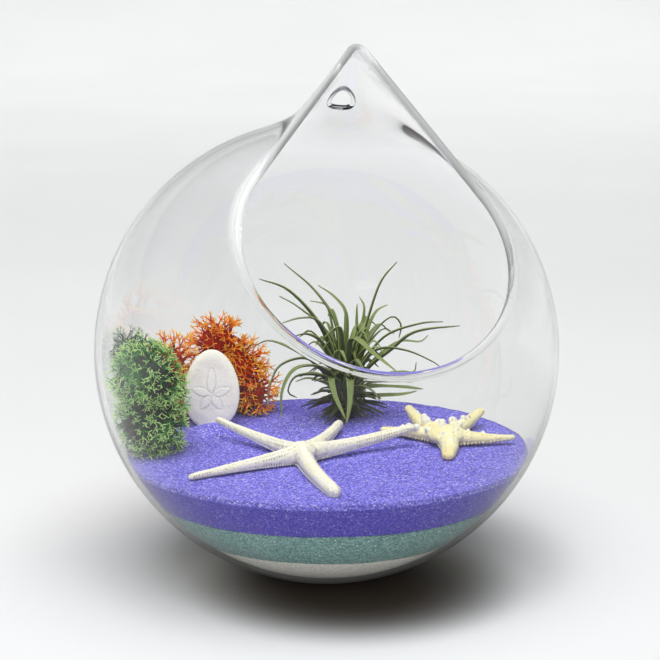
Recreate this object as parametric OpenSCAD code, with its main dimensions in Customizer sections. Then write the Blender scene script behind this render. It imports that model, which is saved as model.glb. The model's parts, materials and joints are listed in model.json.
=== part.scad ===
// Hanging ball vase blown in one piece of clear glass, with a teardrop mouth drawn up into a
// peak and a hang hole behind the peak's tip. It holds three layers of coloured sand, two
// starfish, a sand dollar, dried moss and an air plant.
// Origin: centre of the small flat the ball stands on. +Z is up and the mouth faces -Y.

/* [Ball] */
// Outer diameter of the ball
ball_d = 180; // [150:1:210]
// Thickness of the glass wall
wall = 2; // [1.6:0.1:2.6]
// Diameter of the flat that the ball stands on
base_d = 50; // [36:1:60]
// Thickness of the glass over the flat
base_t = 3; // [2:0.1:4]

/* [Mouth and peak] */
// Width of the round part of the mouth, to the middle of its bead
mouth_d = 101.8; // [94:0.2:110]
// Angle between the plane of the mouth and the level
mouth_tilt = 48.2; // [44:0.2:52]
// Height of the peak over the ball, up to where its sides would meet
peak_h = 30.4; // [27:0.2:34]
// Angle between the back wall of the peak and the peak's own axis
peak_back = 36.5; // [33:0.5:40]
// Width of the sweep from the ball into the peak, as a share of the ball's radius
sweep = 0.12; // [0.04:0.01:0.2]
// Sideways lean of the mouth and peak
lean = 6.7; // [0:0.1:10]
// Diameter of the rounded bead round the mouth
bead_d = 3; // [2.6:0.1:3.6]
// Radius of the bead's bend at the tip
tip_bend = 3.1; // [2.6:0.1:4.5]

/* [Hang hole] */
// Diameter of the hang hole
hole_d = 8; // [6:0.5:10]
// Distance from the tip down the back wall to the middle of the hole
hole_drop = 26.5; // [24:0.5:32]
// Thickness of the rolled lip round the hole
lip_d = 2.4; // [2.2:0.1:3]

/* [Sand] */
// Depth of the white sand
white_t = 17; // [12:0.5:19]
// Depth of the teal sand
teal_t = 13.7; // [9:0.5:16]
// Depth of the violet sand
violet_t = 14.5; // [11:0.5:17]
// Gap between the sand and the glass
sand_gap = 0.15; // [0.1:0.05:0.4]
// Height of the mound heaped against the sand dollar
mound_h = 3; // [1:0.5:5]

/* [Sand dollar] */
// Width across the sand dollar
dollar_w = 23; // [20:0.5:26]
// Height of the sand dollar
dollar_l = 33; // [28:0.5:36]
// Thickness of the sand dollar at its crown
dollar_t = 4; // [3:0.1:5]
// How far the sand dollar leans back
dollar_lean = 20; // [12:1:26]

/* [Starfish] */
// Width of the finger starfish's arms
finger_w = 6.6; // [5.5:0.1:8]
// Thickness of the finger starfish at its middle
finger_h = 8.6; // [7:0.1:10]
// Width of the knobby starfish's arms at their root
knobby_w = 11; // [9:0.2:12.5]
// Thickness of the knobby starfish at its middle
knobby_h = 6.5; // [5.5:0.1:8]
// Diameter of the largest knob on its back
knob_d = 3.6; // [3:0.1:4.2]

/* [Plants] */
// Diameter of the air plant's crown
crown_d = 17; // [14:0.5:19]
// Width of an air plant leaf at its root
leaf_w = 4.4; // [3.6:0.1:5]
// Thickness of an air plant leaf at its root
leaf_t = 1.6; // [1.2:0.1:2]
// Diameter of the tufts that cover the moss
tuft_d = 8; // [6:0.5:9]

/* [Hidden] */
$fn = 96;
// Side of the blocks that cut a solid off at a plane
far = 4 * ball_d;
// Gap under and beside the things that rest on the sand
rest_gap = 0.1;

// Radii of the glass: outside, inside and halfway through the wall
ball_r = ball_d / 2;
inner_r = ball_r - wall;
mid_r = ball_r - wall / 2;
// Height of the ball's middle above the flat
centre_z = sqrt(ball_r * ball_r - base_d * base_d / 4);

// Mouth: the distance from the middle of the ball to its plane and to the tip, the reach of
// the tip in that plane, and half the angle there
bead_r = bead_d / 2;
mouth_r = mouth_d / 2;
mouth_depth = sqrt(mid_r * mid_r - mouth_r * mouth_r);
tip_dist = mid_r + peak_h;
peak_reach = sqrt(tip_dist * tip_dist - mouth_depth * mouth_depth);
tip_half = asin(mouth_r / peak_reach);
flank_l = peak_reach * cos(tip_half) - tip_bend / tan(tip_half);
bend_y = peak_reach - tip_bend / sin(tip_half);

// Peak about its own axis, which runs from the middle of the ball to the tip. Across the axis
// the peak is half an ellipse that stands on the plane of the mouth.
tip_tilt = mouth_tilt - atan(peak_reach / mouth_depth);
peak_rise = tip_dist / mid_r;
front_slope = mouth_depth / peak_reach;
side_slope = tan(tip_half) * tip_dist / peak_reach;
depth_slope = tan(peak_back) + front_slope;
tip_cut = (tip_bend / sin(tip_half) - tip_bend) * peak_reach / tip_dist / mid_r;
flank_turn = atan2(side_slope, front_slope);
skirt_angle = acos(mid_r / tip_dist);
// The peak fades into the ball over this angle, laps over it by the next, and its skirt sinks
// into the outer and inner face of the wall
fade_angle = 5;
skirt_lap = 3;
skirt_sink = [0.06, 0.2];
bowl_lap = 0.8;
// The sweep is at its full width this far behind the mouth, in ball radii
sweep_full = 0.4;
peak_turns = 40;
peak_rings = 16;

// Hang hole, on the back wall of the peak
hole_r = hole_d / 2;
lip_r = lip_d / 2;
lip_overhang = 0.4;
lip_ring = hole_r + lip_r * (1 - lip_overhang);
hole_angle = atan2(hole_drop * sin(peak_back), tip_dist - hole_drop * cos(peak_back));
hole_rise = back_place(hole_angle - 1) - back_place(hole_angle + 1);
hole_tilt = atan2(hole_rise[0], hole_rise[1]);

// Tops of the sand layers
sand_r = inner_r - sand_gap;
white_top = base_t + white_t;
teal_top = white_top + teal_t;
sand_top = teal_top + violet_t;

// The places and heights below are laid out for a ball of 180, and spread with it
spread = ball_d / 180;
// Places on the sand, from the middle of the ball
dollar_at = [-38.5, 43];
dollar_turn = -13;
dollar_sink = 1.2;
mound_at = [-38.5, 35];
mound_r = 15;
finger_at = [-15.5, -26];
knobby_at = [46, -12];
crown_at = [18, 43];

// Finger starfish: where each arm's tip lies from the middle, and how far its underside is raised
finger_arms = [[-24, 45, 4.5], [-44.5, -14, 0], [2, -45, 0], [47, 14, 5.8], [25, 43, 0.6]];
// Knobby starfish: the same, and the knobs as place and share of the largest
knobby_arms = [[-6, 33, 4], [-20, 20, 0], [-6, -23, 0], [26, -8, 0.4], [23, 24, 3]];
knobs = [[-10, 8, 0.8], [-5, 12, 0.95], [1, 13, 1], [6, 11, 0.9], [0, 6, 0.8], [-7, 3, 0.7],
         [-12, 12, 0.7], [7, 5, 0.7], [-2, 0, 0.6], [11, 13, 0.7], [-4, 18, 0.7]];
// How fast the knobs sit lower away from the middle
knob_fall = 0.06;

// Gap between the moss and the sand's own clearance from the glass
moss_gap = 0.4;
// Moss lumps: place from the middle of the ball, height over the sand, radius
green_lumps = [[-69.5, 7, 12, 13], [-70, 9, 30, 13], [-63, 11, 21, 9], [-63, 7, 6, 8]];
grey_lumps = [[-74, 33, 33, 8], [-75, 34, 20, 8], [-70, 35, 8, 8]];
orange_lumps = [[-25, 67, 16, 12], [-32, 66, 29, 9.5], [-18, 62, 7, 8], [-54, 56, 24, 8],
                [-52, 56, 11, 8], [-40, 63, 10, 9]];

// Air plant leaves: tip from the crown, then how high the leaf arches on its way
leaves = [
    [-25, 2, 60, 44], [-37, -5, 56, 46], [-26, 7, 46, 38], [-8, 15, 49, 42], [-30, -14, 40, 40],
    [-42, -12, 30, 36], [-33, -2, 1, 34], [-29, -14, 0, 30], [-24, -8, 12, 14], [24, 7, 59, 40],
    [20, 17, 42, 36], [16, 28, 40, 36], [42, -2, 34, 30], [47, -8, 33, 26], [37, -18, 18, 32],
    [29, -8, 8, 14], [-3, -15, 0, 12], [5, 2, 42, 30], [9, 19, 41, 28], [14, -26, 17, 30],
    [-12, 30, 30, 34], [30, 22, 24, 28], [3, 34, 16, 26], [-9, -20, 3, 20]
];
leaf_rings = 6;
leaf_sides = 6;

function sq(v) = v * v;
function clamp01(v) = max(0, min(1, v));
function smooth01(v) = sq(clamp01(v)) * (3 - 2 * clamp01(v));

// Distance from the middle of the ball to the plain peak, in ball radii, for a direction
// given by its angle from the peak's axis and its turn from the front
function cone_reach(angle, turn) =
    let (across = sin(angle) * sin(turn) / side_slope,
         along = (-sin(angle) * cos(turn) - front_slope * cos(angle)) / depth_slope,
         offset = front_slope * peak_rise / depth_slope,
         room = sq(peak_rise) - sq(offset) - sq(tip_cut),
         half = along * offset + cos(angle) * peak_rise)
    room / (half + sqrt(max(0, sq(half) + (sq(across) + sq(along) - sq(cos(angle))) * room)));

// How far behind the plane of the mouth the ball lies in that direction, in ball radii
function behind_mouth(angle, turn) =
    (mouth_depth - mid_r * (cos(angle) * mouth_depth
        + sin(angle) * cos(turn) * peak_reach) / tip_dist) / mid_r;

// The ball swept into the peak
function glass_reach(angle, turn) =
    let (cone = cone_reach(angle, turn),
         soft = sweep * smooth01(behind_mouth(angle, turn) / sweep_full) + 0.0001,
         bend = max(0, soft - abs(cone - 1)) / soft,
         swept = max(cone, 1) + sq(bend) * soft / 4)
    1 + (swept - 1) * (1 - smooth01((angle - skirt_angle + fade_angle) / fade_angle));

// Middle of the wall at the back of the peak, as [back, along the axis]
function back_place(angle) = mid_r * glass_reach(angle, 180) * [sin(angle), cos(angle)];

function ring_angle(i) = (skirt_angle + skirt_lap) * i / peak_rings;
function ring_turn(j) = flank_turn + (360 - 2 * flank_turn) * j / peak_turns;
function glass_point(r, i, j) =
    let (a = ring_angle(i), t = ring_turn(j), reach = r * glass_reach(a, t))
    reach * [sin(a) * sin(t), -sin(a) * cos(t), cos(a)];

// Frame of the mouth and peak: the middle of the ball, leaned sideways
module leaned() {
    translate([0, 0, centre_z]) rotate([0, lean, 0]) children();
}

// Frame with z along the axis of the peak
module peak_frame() {
    leaned() rotate([tip_tilt, 0, 0]) children();
}

// Frame with z square to the plane of the mouth and y up it
module mouth_frame() {
    leaned() rotate([mouth_tilt, 0, 0]) children();
}

// Frame at the hang hole, with z out through the back wall
module hole_frame() {
    peak_frame() translate([0, back_place(hole_angle)[0], back_place(hole_angle)[1]])
        rotate([-90 - hole_tilt, 0, 0]) children();
}

// Everything above a height
module above(z) {
    translate([-far / 2, -far / 2, z]) cube(far);
}

// Everything below a height
module below(z) {
    translate([0, 0, -far]) above(z);
}

module ball(r) {
    translate([0, 0, centre_z]) sphere(r);
}

// Round part of the glass, up to where the peak begins
module bowl() {
    cone_h = ball_r * 1.2;
    difference() {
        ball(ball_r);
        intersection() {
            ball(inner_r);
            above(base_t);
        }
        below(0);
        peak_frame() above(ball_r * cos(skirt_angle + bowl_lap));
        mouth_frame() cylinder(h = cone_h, r1 = 0, r2 = cone_h * mouth_r / mouth_depth);
    }
}

// Wall of the peak, from one straight side of the mouth round the back to the other
module peak() {
    row = peak_turns + 1;
    skin = peak_rings * row + 1;
    radii = [ball_r - skirt_sink[0], inner_r + skirt_sink[1]];
    points = [for (r = radii) each concat([glass_point(r, 0, 0)],
        [for (i = [1:peak_rings]) for (j = [0:peak_turns]) glass_point(r, i, j)])];
    function at(s, i, j) = i == 0 ? s * skin : s * skin + 1 + (i - 1) * row + j;
    outer = [for (i = [0:peak_rings - 1]) for (j = [0:peak_turns - 1])
        each i == 0 ? [[at(0, 0, 0), at(0, 1, j), at(0, 1, j + 1)]]
            : [[at(0, i, j), at(0, i + 1, j), at(0, i + 1, j + 1)],
               [at(0, i, j), at(0, i + 1, j + 1), at(0, i, j + 1)]]];
    inner = [for (f = outer) [f[0] + skin, f[2] + skin, f[1] + skin]];
    skirt = [for (j = [0:peak_turns - 1]) let (i = peak_rings)
        each [[at(0, i, j), at(1, i, j), at(1, i, j + 1)],
              [at(0, i, j), at(1, i, j + 1), at(0, i, j + 1)]]];
    edges = [for (i = [0:peak_rings - 1])
        each [[at(0, i, 0), at(1, i, 0), at(1, i + 1, 0), at(0, i + 1, 0)],
              [at(0, i, peak_turns), at(0, i + 1, peak_turns),
               at(1, i + 1, peak_turns), at(1, i, peak_turns)]]];
    split = [for (f = edges) each [[f[0], f[1], f[2]], [f[0], f[2], f[3]]]];
    peak_frame() polyhedron(points, [for (f = concat(outer, inner, skirt, split)) [f[0], f[2], f[1]]]);
}

// Rounded bead round the mouth: a round part, two straight sides, and the bend at the tip
module bead() {
    mouth_frame() translate([0, 0, mouth_depth]) {
        rotate([0, 0, 180 - tip_half]) rotate_extrude(angle = 180 + 2 * tip_half)
            translate([mouth_r, 0]) circle(bead_r);
        for (side = [0, 1]) mirror([side, 0, 0]) rotate([0, 0, tip_half])
            translate([mouth_r, 0, 0]) rotate([-90, 0, 0]) cylinder(h = flank_l, r = bead_r);
        translate([0, bend_y, 0]) {
            rotate([0, 0, tip_half]) rotate_extrude(angle = 180 - 2 * tip_half)
                translate([tip_bend, 0]) circle(bead_r);
            sphere(tip_bend);
        }
    }
}

module globe() {
    color([0.9, 0.95, 0.95, 0.3]) difference() {
        union() {
            bowl();
            peak();
            bead();
            hole_frame() rotate_extrude() translate([lip_ring, 0]) circle(lip_r);
        }
        hole_frame() translate([0, 0, -3 * wall]) cylinder(h = 6 * wall, r = hole_r);
    }
}

// One layer of sand that fills the ball between two heights
module layer(low, high) {
    intersection() {
        ball(sand_r);
        translate([-ball_r, -ball_r, low]) cube([ball_d, ball_d, high - low]);
    }
}

module white_sand() {
    color("linen") layer(base_t, white_top);
}

module teal_sand() {
    color("cadetblue") layer(white_top, teal_top);
}

module violet_sand() {
    mound_ball = (sq(mound_r) + sq(mound_h)) / (2 * mound_h);
    color("slateblue") difference() {
        union() {
            layer(teal_top, sand_top);
            intersection() {
                translate([mound_at[0] * spread, mound_at[1] * spread, sand_top + mound_h - mound_ball])
                    sphere(mound_ball);
                layer(sand_top - mound_h, sand_top + mound_h);
            }
        }
        dollar_frame() translate([0, (dollar_w - dollar_l) / 2, -rest_gap])
            cylinder(h = dollar_t + 2 * rest_gap, r = dollar_w / 2 + rest_gap);
    }
}

// Frame of the sand dollar, with z out of its petalled face and y up it
module dollar_frame() {
    translate([dollar_at[0] * spread, dollar_at[1] * spread,
               sand_top + dollar_l / 2 * cos(dollar_lean) - dollar_sink])
        rotate([90 - dollar_lean, 0, dollar_turn]) children();
}

module sand_dollar() {
    spokes = 50;
    rings = 8;
    edge_t = 0.35 * dollar_t;
    relief = 0.12 * dollar_t;
    petals = 5;
    petal_start = 0.08;
    petal_reach = 0.6;
    narrowing = 0.12;
    foot_share = 0.97;
    // f runs from the middle, 0, to the rim, 1, and a is the angle round it
    function petal(f, a) = relief * pow(max(0, cos(petals * (a - 90))), 1.5)
        * sin(180 * clamp01((f - petal_start) / petal_reach));
    function rim(a) = [dollar_w / 2 * cos(a) * (1 - narrowing * sin(a)), dollar_l / 2 * sin(a)];
    function height(f, a) = edge_t + (dollar_t - edge_t) * sqrt(1 - sq(f * foot_share)) - relief
        + petal(f, a);
    top = [for (i = [1:rings]) for (j = [0:spokes - 1]) let (f = i / rings, a = j * 360 / spokes)
        [rim(a)[0] * f, rim(a)[1] * f, height(f, a)]];
    foot = [for (j = [0:spokes - 1]) let (r = rim(j * 360 / spokes) * foot_share) [r[0], r[1], 0]];
    points = concat([[0, 0, height(0, 0)]], top, foot, [[0, 0, 0]]);
    function at(i, j) = i == 0 ? 0 : 1 + (i - 1) * spokes + j % spokes;
    last = len(points) - 1;
    faces = concat(
        [for (j = [0:spokes - 1]) [0, at(1, j + 1), at(1, j)]],
        [for (i = [1:rings]) for (j = [0:spokes - 1])
            each [[at(i, j), at(i, j + 1), at(i + 1, j + 1)], [at(i, j), at(i + 1, j + 1), at(i + 1, j)]]],
        [for (j = [0:spokes - 1]) [at(rings + 1, j), at(rings + 1, j + 1), last]]);
    color("ivory") dollar_frame() polyhedron(points, faces);
}

// Arm of a starfish: rounded links from the middle, where the radius is root_r, to a tip of
// radius tip_r that is raised by lift
module arm(tip, lift, root_r, tip_r) {
    links = 5;
    function radius(t) = root_r + (tip_r - root_r) * t;
    for (i = [0:links - 1]) hull() for (t = [i / links, (i + 1) / links])
        translate([tip[0] * t * spread, tip[1] * t * spread, lift * sq(t) + radius(t)])
            sphere(radius(t), $fn = 10);
}

// Body of a starfish: a broad disc that narrows to a small flat on top
module disc(height, broad_r, top_r) {
    flat_t = 1;
    hull() {
        cylinder(h = height / 2, r = broad_r, $fn = 20);
        translate([0, 0, height - flat_t]) cylinder(h = flat_t, r = top_r, $fn = 20);
    }
}

// Starfish laid on the sand, cut off level where it would sink in
module on_sand(at) {
    difference() {
        translate([at[0] * spread, at[1] * spread, sand_top + rest_gap]) children();
        below(sand_top + rest_gap);
    }
}

module finger_starfish() {
    root_r = finger_w * 0.55;
    tip_r = finger_w * 0.42;
    disc_r = finger_w * 0.82;
    top_r = finger_w * 0.35;
    color("cornsilk") on_sand(finger_at) {
        for (a = finger_arms) arm([a[0], a[1]], a[2], root_r, tip_r);
        disc(finger_h, disc_r, top_r);
    }
}

module knobby_starfish() {
    root_r = knobby_w * 0.35;
    tip_r = knobby_w * 0.17;
    disc_r = knobby_w * 0.75;
    top_r = knobby_w * 0.45;
    knob_z = knobby_h - knob_d * 0.2;
    color("lightgoldenrodyellow") on_sand(knobby_at) {
        for (a = knobby_arms) arm([a[0], a[1]], a[2], root_r, tip_r);
        disc(knobby_h, disc_r, top_r);
        for (k = knobs) translate([k[0], k[1], knob_z - norm([k[0], k[1]]) * knob_fall])
            sphere(knob_d / 2 * k[2], $fn = 8);
    }
}

// Clump of moss: rounded lumps with short blunt twigs all over, kept inside the glass and on
// the sand
module moss(lumps) {
    twigs = 9;
    golden_turn = 137.5;
    core = 0.86;
    twig_root = tuft_d * 0.55;
    twig_tip = tuft_d * 0.14;
    intersection() {
        translate([0, 0, centre_z]) sphere(sand_r - moss_gap, $fn = 40);
        above(sand_top + rest_gap);
        union() for (m = lumps * spread) translate([m[0], m[1], sand_top + m[2]]) {
            sphere(m[3] * core, $fn = 12);
            for (k = [0:twigs - 1]) rotate([0, acos(1 - (2 * k + 1) / twigs), golden_turn * k])
                hull() cylinder(h = m[3], r1 = twig_root, r2 = twig_tip, $fn = 6);
        }
    }
}

module green_moss() {
    color("mediumseagreen") moss(green_lumps);
}

module grey_moss() {
    color("slategray") moss(grey_lumps);
}

module orange_moss() {
    color("orangered") moss(orange_lumps);
}

// Leaf that rises from the crown, arches over and tapers to a point, with its swollen root
module leaf(tip, arch) {
    knee_share = 0.45;
    knee = [tip[0] * knee_share, tip[1] * knee_share, arch];
    root_end = 0.14;
    narrowing = 0.9;
    thinning = 0.75;
    side = [-tip[1], tip[0], 0] / norm([tip[0], tip[1]]);
    function place(t) = 2 * t * (1 - t) * knee + sq(t) * tip;
    function course(t) = let (d = 2 * (1 - 2 * t) * knee + 2 * t * tip) d / norm(d);
    points = [for (i = [0:leaf_rings]) let (t = i / leaf_rings, up = cross(course(t), side),
            w = leaf_w / 2 * (1 - narrowing * t), h = leaf_t / 2 * (1 - thinning * t))
        each [for (k = [0:leaf_sides - 1]) let (a = 360 * k / leaf_sides)
            place(t) + side * w * cos(a) + up * h * sin(a)]];
    faces = concat(
        [[for (k = [0:leaf_sides - 1]) k]],
        [for (i = [0:leaf_rings - 1]) for (k = [0:leaf_sides - 1])
            let (n = (k + 1) % leaf_sides, o = i * leaf_sides)
            each [[o + k, o + leaf_sides + k, o + leaf_sides + n], [o + k, o + leaf_sides + n, o + n]]],
        [[for (k = [leaf_sides - 1:-1:0]) leaf_rings * leaf_sides + k]]);
    polyhedron(points, faces);
    hull() {
        sphere(leaf_w * 0.6, $fn = 6);
        translate(place(root_end)) sphere(leaf_w * 0.5, $fn = 6);
    }
}

module air_plant() {
    crown_z = crown_d * 0.3;
    color("olivedrab") intersection() {
        translate([crown_at[0] * spread, crown_at[1] * spread, sand_top + crown_z]) {
            for (l = leaves * spread) leaf([l[0], l[1], l[2]], l[3]);
            sphere(crown_d / 2, $fn = 20);
        }
        above(sand_top + rest_gap);
    }
}

globe();
white_sand();
teal_sand();
violet_sand();
finger_starfish();
knobby_starfish();
sand_dollar();
green_moss();
grey_moss();
orange_moss();
air_plant();
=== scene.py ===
import json
import math

import bpy
import numpy as np
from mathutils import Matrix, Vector

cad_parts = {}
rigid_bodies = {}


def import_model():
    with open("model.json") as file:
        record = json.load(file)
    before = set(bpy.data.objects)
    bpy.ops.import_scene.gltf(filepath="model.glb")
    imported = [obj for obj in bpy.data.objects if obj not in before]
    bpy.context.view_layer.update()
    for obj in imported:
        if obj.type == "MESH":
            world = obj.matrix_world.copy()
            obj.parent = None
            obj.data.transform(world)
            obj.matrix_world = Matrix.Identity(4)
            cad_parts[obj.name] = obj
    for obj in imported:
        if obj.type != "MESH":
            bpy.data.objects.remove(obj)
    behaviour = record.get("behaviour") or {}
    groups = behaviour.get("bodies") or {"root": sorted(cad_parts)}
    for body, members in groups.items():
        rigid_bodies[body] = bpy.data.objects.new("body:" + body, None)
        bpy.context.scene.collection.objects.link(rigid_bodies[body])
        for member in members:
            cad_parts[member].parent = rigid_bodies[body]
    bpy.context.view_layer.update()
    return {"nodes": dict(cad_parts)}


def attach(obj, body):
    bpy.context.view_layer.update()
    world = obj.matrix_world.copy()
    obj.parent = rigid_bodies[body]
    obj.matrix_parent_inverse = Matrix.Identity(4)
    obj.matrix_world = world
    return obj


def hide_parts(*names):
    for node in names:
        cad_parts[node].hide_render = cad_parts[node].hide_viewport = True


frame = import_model()
print("frame loaded:", len(frame["nodes"]), "nodes")

mm = 0.001
rootBody = "root"


def addToScene(name, data):
    thing = bpy.data.objects.new(name, data)
    bpy.context.scene.collection.objects.link(thing)
    return thing


def aim(thing, place, heading):
    # a camera or lamp looks along its own -Z
    thing.location = place
    thing.rotation_mode = "QUATERNION"
    thing.rotation_quaternion = Vector(heading).to_track_quat("-Z", "Y")


view = {
    "place": (-0.16146, -0.683, 0.2472), "look": (0.22655, 0.95058, -0.21231),
    "lens": 100.76, "sensor": 36.0, "near": 0.02, "far": 30.0,
}
cameraData = bpy.data.cameras.new("camera")
cameraData.lens, cameraData.sensor_width = view["lens"], view["sensor"]
cameraData.clip_start, cameraData.clip_end = view["near"], view["far"]
camera = addToScene("camera", cameraData)
aim(camera, view["place"], view["look"])
bpy.context.scene.camera = camera


class Signal:
    # an output socket; arithmetic on it adds Math nodes
    def __init__(self, shop, socket):
        self.shop = shop
        self.socket = socket

    def math(self, operation, *values):
        return self.shop.add("ShaderNodeMath", {"operation": operation}, dict(enumerate(values)))

    def other(self, output):
        # another output of the same node
        return Signal(self.shop, self.socket.node.outputs[output])

    def __add__(self, other):
        return self.math("ADD", self, other)

    def __radd__(self, other):
        return self.math("ADD", other, self)

    def __sub__(self, other):
        return self.math("SUBTRACT", self, other)

    def __rsub__(self, other):
        return self.math("SUBTRACT", other, self)

    def __mul__(self, other):
        return self.math("MULTIPLY", self, other)

    def __rmul__(self, other):
        return self.math("MULTIPLY", other, self)

    def __pow__(self, other):
        return self.math("POWER", self, other)


class Workshop:
    # a node tree that is built one call at a time
    def __init__(self, tree):
        self.tree = tree

    def add(self, kind, settings=None, inputs=None, output=0):
        node = self.tree.nodes.new(kind)
        for key, value in (settings or {}).items():
            if key == "stops":
                stops = node.color_ramp.elements
                while len(stops) > 1:
                    stops.remove(stops[-1])
                for n, (place, colour) in enumerate(value):
                    stop = stops[0] if n == 0 else stops.new(place)
                    stop.position = place
                    stop.color = (*colour, 1.0)
            else:
                setattr(node, key, value)
        for key, value in (inputs or {}).items():
            socket = node.inputs[key]
            if isinstance(value, Signal):
                self.tree.links.new(value.socket, socket)
            elif isinstance(value, tuple) and len(value) == 3 and socket.type == "RGBA":
                socket.default_value = (*value, 1.0)
            else:
                socket.default_value = value
        return Signal(self, node.outputs[output])

    def vectorMath(self, operation, first, second, output="Value"):
        return self.add("ShaderNodeVectorMath", {"operation": operation},
                        {0: first, 1: second}, output)

    def mask(self, value, low, high, first=0.0, last=1.0):
        # a soft step from first to last
        return self.add("ShaderNodeMapRange", {"interpolation_type": "SMOOTHSTEP"},
                        {"Value": value, "From Min": low, "From Max": high,
                         "To Min": first, "To Max": last})


class Finish(Workshop):
    # a material
    def __init__(self, name):
        self.material = bpy.data.materials.new(name)
        self.material.use_nodes = True
        super().__init__(self.material.node_tree)
        self.tree.nodes.clear()
        self.out = self.tree.nodes.new("ShaderNodeOutputMaterial")

    def place(self):
        return self.add("ShaderNodeTexCoord", output="Object")

    def part(self, place, axis):
        return self.add("ShaderNodeSeparateXYZ", None, {"Vector": place}, axis)

    def tint(self, factor, first, second):
        return self.add("ShaderNodeMix", {"data_type": "RGBA"},
                        {0: factor, 6: first, 7: second}, output=2)

    def ramp(self, factor, stops):
        return self.add("ShaderNodeValToRGB", {"stops": stops}, {"Fac": factor})

    def noise(self, place, scale, detail=3.0, rough=0.55):
        return self.add("ShaderNodeTexNoise", None,
                        {"Vector": place, "Scale": scale, "Detail": detail, "Roughness": rough})

    def cells(self, place, scale, output="Distance"):
        return self.add("ShaderNodeTexVoronoi", None, {"Vector": place, "Scale": scale}, output)

    def bump(self, height, strength, distance):
        return self.add("ShaderNodeBump", None,
                        {"Height": height, "Strength": strength, "Distance": distance})

    def painted(self, name, output="Fac"):
        # an attribute that the piece's own mesh carries
        return self.add("ShaderNodeAttribute", {"attribute_name": name}, output=output)

    def close(self, shader):
        self.tree.links.new(shader.socket, self.out.inputs["Surface"])
        return self.material

    def surface(self, colour, rough, shine, normal):
        return self.close(self.add("ShaderNodeBsdfPrincipled", None, {
            "Base Color": colour, "Roughness": rough, "Specular IOR Level": shine, "Normal": normal}))


def plainMesh(thing):
    # what an object's modifiers make of it; the object itself is removed
    bpy.context.view_layer.update()
    ready = thing.evaluated_get(bpy.context.evaluated_depsgraph_get())
    mesh = bpy.data.meshes.new_from_object(ready)
    bpy.data.objects.remove(thing)
    return mesh


class Growth(Workshop):
    # a Geometry Nodes tree with named inputs, grown into a plain mesh
    kinds = {int: "NodeSocketInt", float: "NodeSocketFloat"}

    def __init__(self, name, sizes, links=()):
        super().__init__(bpy.data.node_groups.new(name, "GeometryNodeTree"))
        self.sizes = sizes
        self.names = {}
        self.addSocket("Geometry", "NodeSocketGeometry")
        for label, value in sizes.items():
            self.addSocket(label, self.kinds[type(value)])
        for label, kind in (("Material", "NodeSocketMaterial"), *links):
            self.addSocket(label, kind)
        self.addSocket("Geometry", "NodeSocketGeometry", "OUTPUT")
        self.source = self.tree.nodes.new("NodeGroupInput")
        self.out = self.tree.nodes.new("NodeGroupOutput")

    def addSocket(self, label, kind, side="INPUT"):
        socket = self.tree.interface.new_socket(label, in_out=side, socket_type=kind)
        self.names[label] = socket.identifier

    def given(self, label):
        return Signal(self, self.source.outputs[label])

    def chance(self, least, most):
        return self.add("FunctionNodeRandomValue", {"data_type": "FLOAT"},
                        {2: least, 3: most, "Seed": self.given("Seed")}, output=1)

    def close(self, shape):
        real = self.add("GeometryNodeRealizeInstances", None, {"Geometry": shape})
        dressed = self.add("GeometryNodeSetMaterial", None,
                           {"Geometry": real, "Material": self.given("Material")})
        self.tree.links.new(dressed.socket, self.out.inputs["Geometry"])

    def grow(self, name, points, edges, faces, material, **values):
        mesh = bpy.data.meshes.new(name + "_start")
        mesh.from_pydata([tuple(p) for p in points], edges, faces)
        start = addToScene(name + "_start", mesh)
        modifier = start.modifiers.new("grow", "NODES")
        modifier.node_group = self.tree
        for label, value in {**self.sizes, "Material": material, **values}.items():
            modifier[self.names[label]] = value
        start.update_tag()
        grown = plainMesh(start)
        grown.name = name
        return grown


def setSmooth(mesh, smooth=True):
    mesh.polygons.foreach_set("use_smooth", [smooth] * len(mesh.polygons))
    return mesh


def makeMesh(name, points, faces, material):
    mesh = bpy.data.meshes.new(name)
    mesh.from_pydata([tuple(p) for p in points], [], [tuple(f) for f in faces])
    mesh.validate()
    mesh.materials.append(material)
    mesh.update()
    return setSmooth(mesh)


def placeMesh(mesh, slot, *nodes):
    # a finished mesh becomes a piece of the vase and stands for these nodes
    piece = addToScene(mesh.name, mesh)
    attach(piece, rootBody)
    for node in nodes:
        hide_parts(node)
    return piece


def readRows(store, key):
    # rows of three numbers from a mesh's points or normals
    flat = np.zeros(len(store) * 3, np.float32)
    store.foreach_get(key, flat)
    return flat.reshape(-1, 3).astype(float)


def paint(mesh, **layers):
    # stores numbers, or rows of three, on the points of a mesh
    for name, values in layers.items():
        values = np.asarray(values, np.float32)
        kind, key = ("FLOAT", "value") if values.ndim == 1 else ("FLOAT_VECTOR", "vector")
        mesh.attributes.new(name, kind, "POINT").data.foreach_set(key, values.ravel())


def faceOutwards(points, faces):
    # turns a closed mesh the right way out
    points = np.asarray(points, float)
    total = 0.0
    for f in faces:
        a = points[f[0]]
        for n in range(1, len(f) - 1):
            total += np.dot(a, np.cross(points[f[n]], points[f[n + 1]]))
    return [tuple(reversed(f)) for f in faces] if total < 0 else faces


def unit(v):
    v = np.asarray(v, float)
    return v / np.maximum(np.linalg.norm(v, axis=-1, keepdims=True), 1e-12)


def smoothStep(v):
    v = np.clip(v, 0, 1)
    return v * v * (3 - 2 * v)


def turned(v, axis, degrees):
    # points turned about the axis x, y or z
    c, s = math.cos(math.radians(degrees)), math.sin(math.radians(degrees))
    v = np.asarray(v, float)
    first, second = ("xyz".index(axis) + 1) % 3, ("xyz".index(axis) + 2) % 3
    done = v.copy()
    done[..., first] = v[..., first] * c - v[..., second] * s
    done[..., second] = v[..., first] * s + v[..., second] * c
    return done


def around(turn, r, z):
    # points by their turn about the z axis
    return np.stack([r * np.cos(turn), r * np.sin(turn), z], -1)


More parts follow.
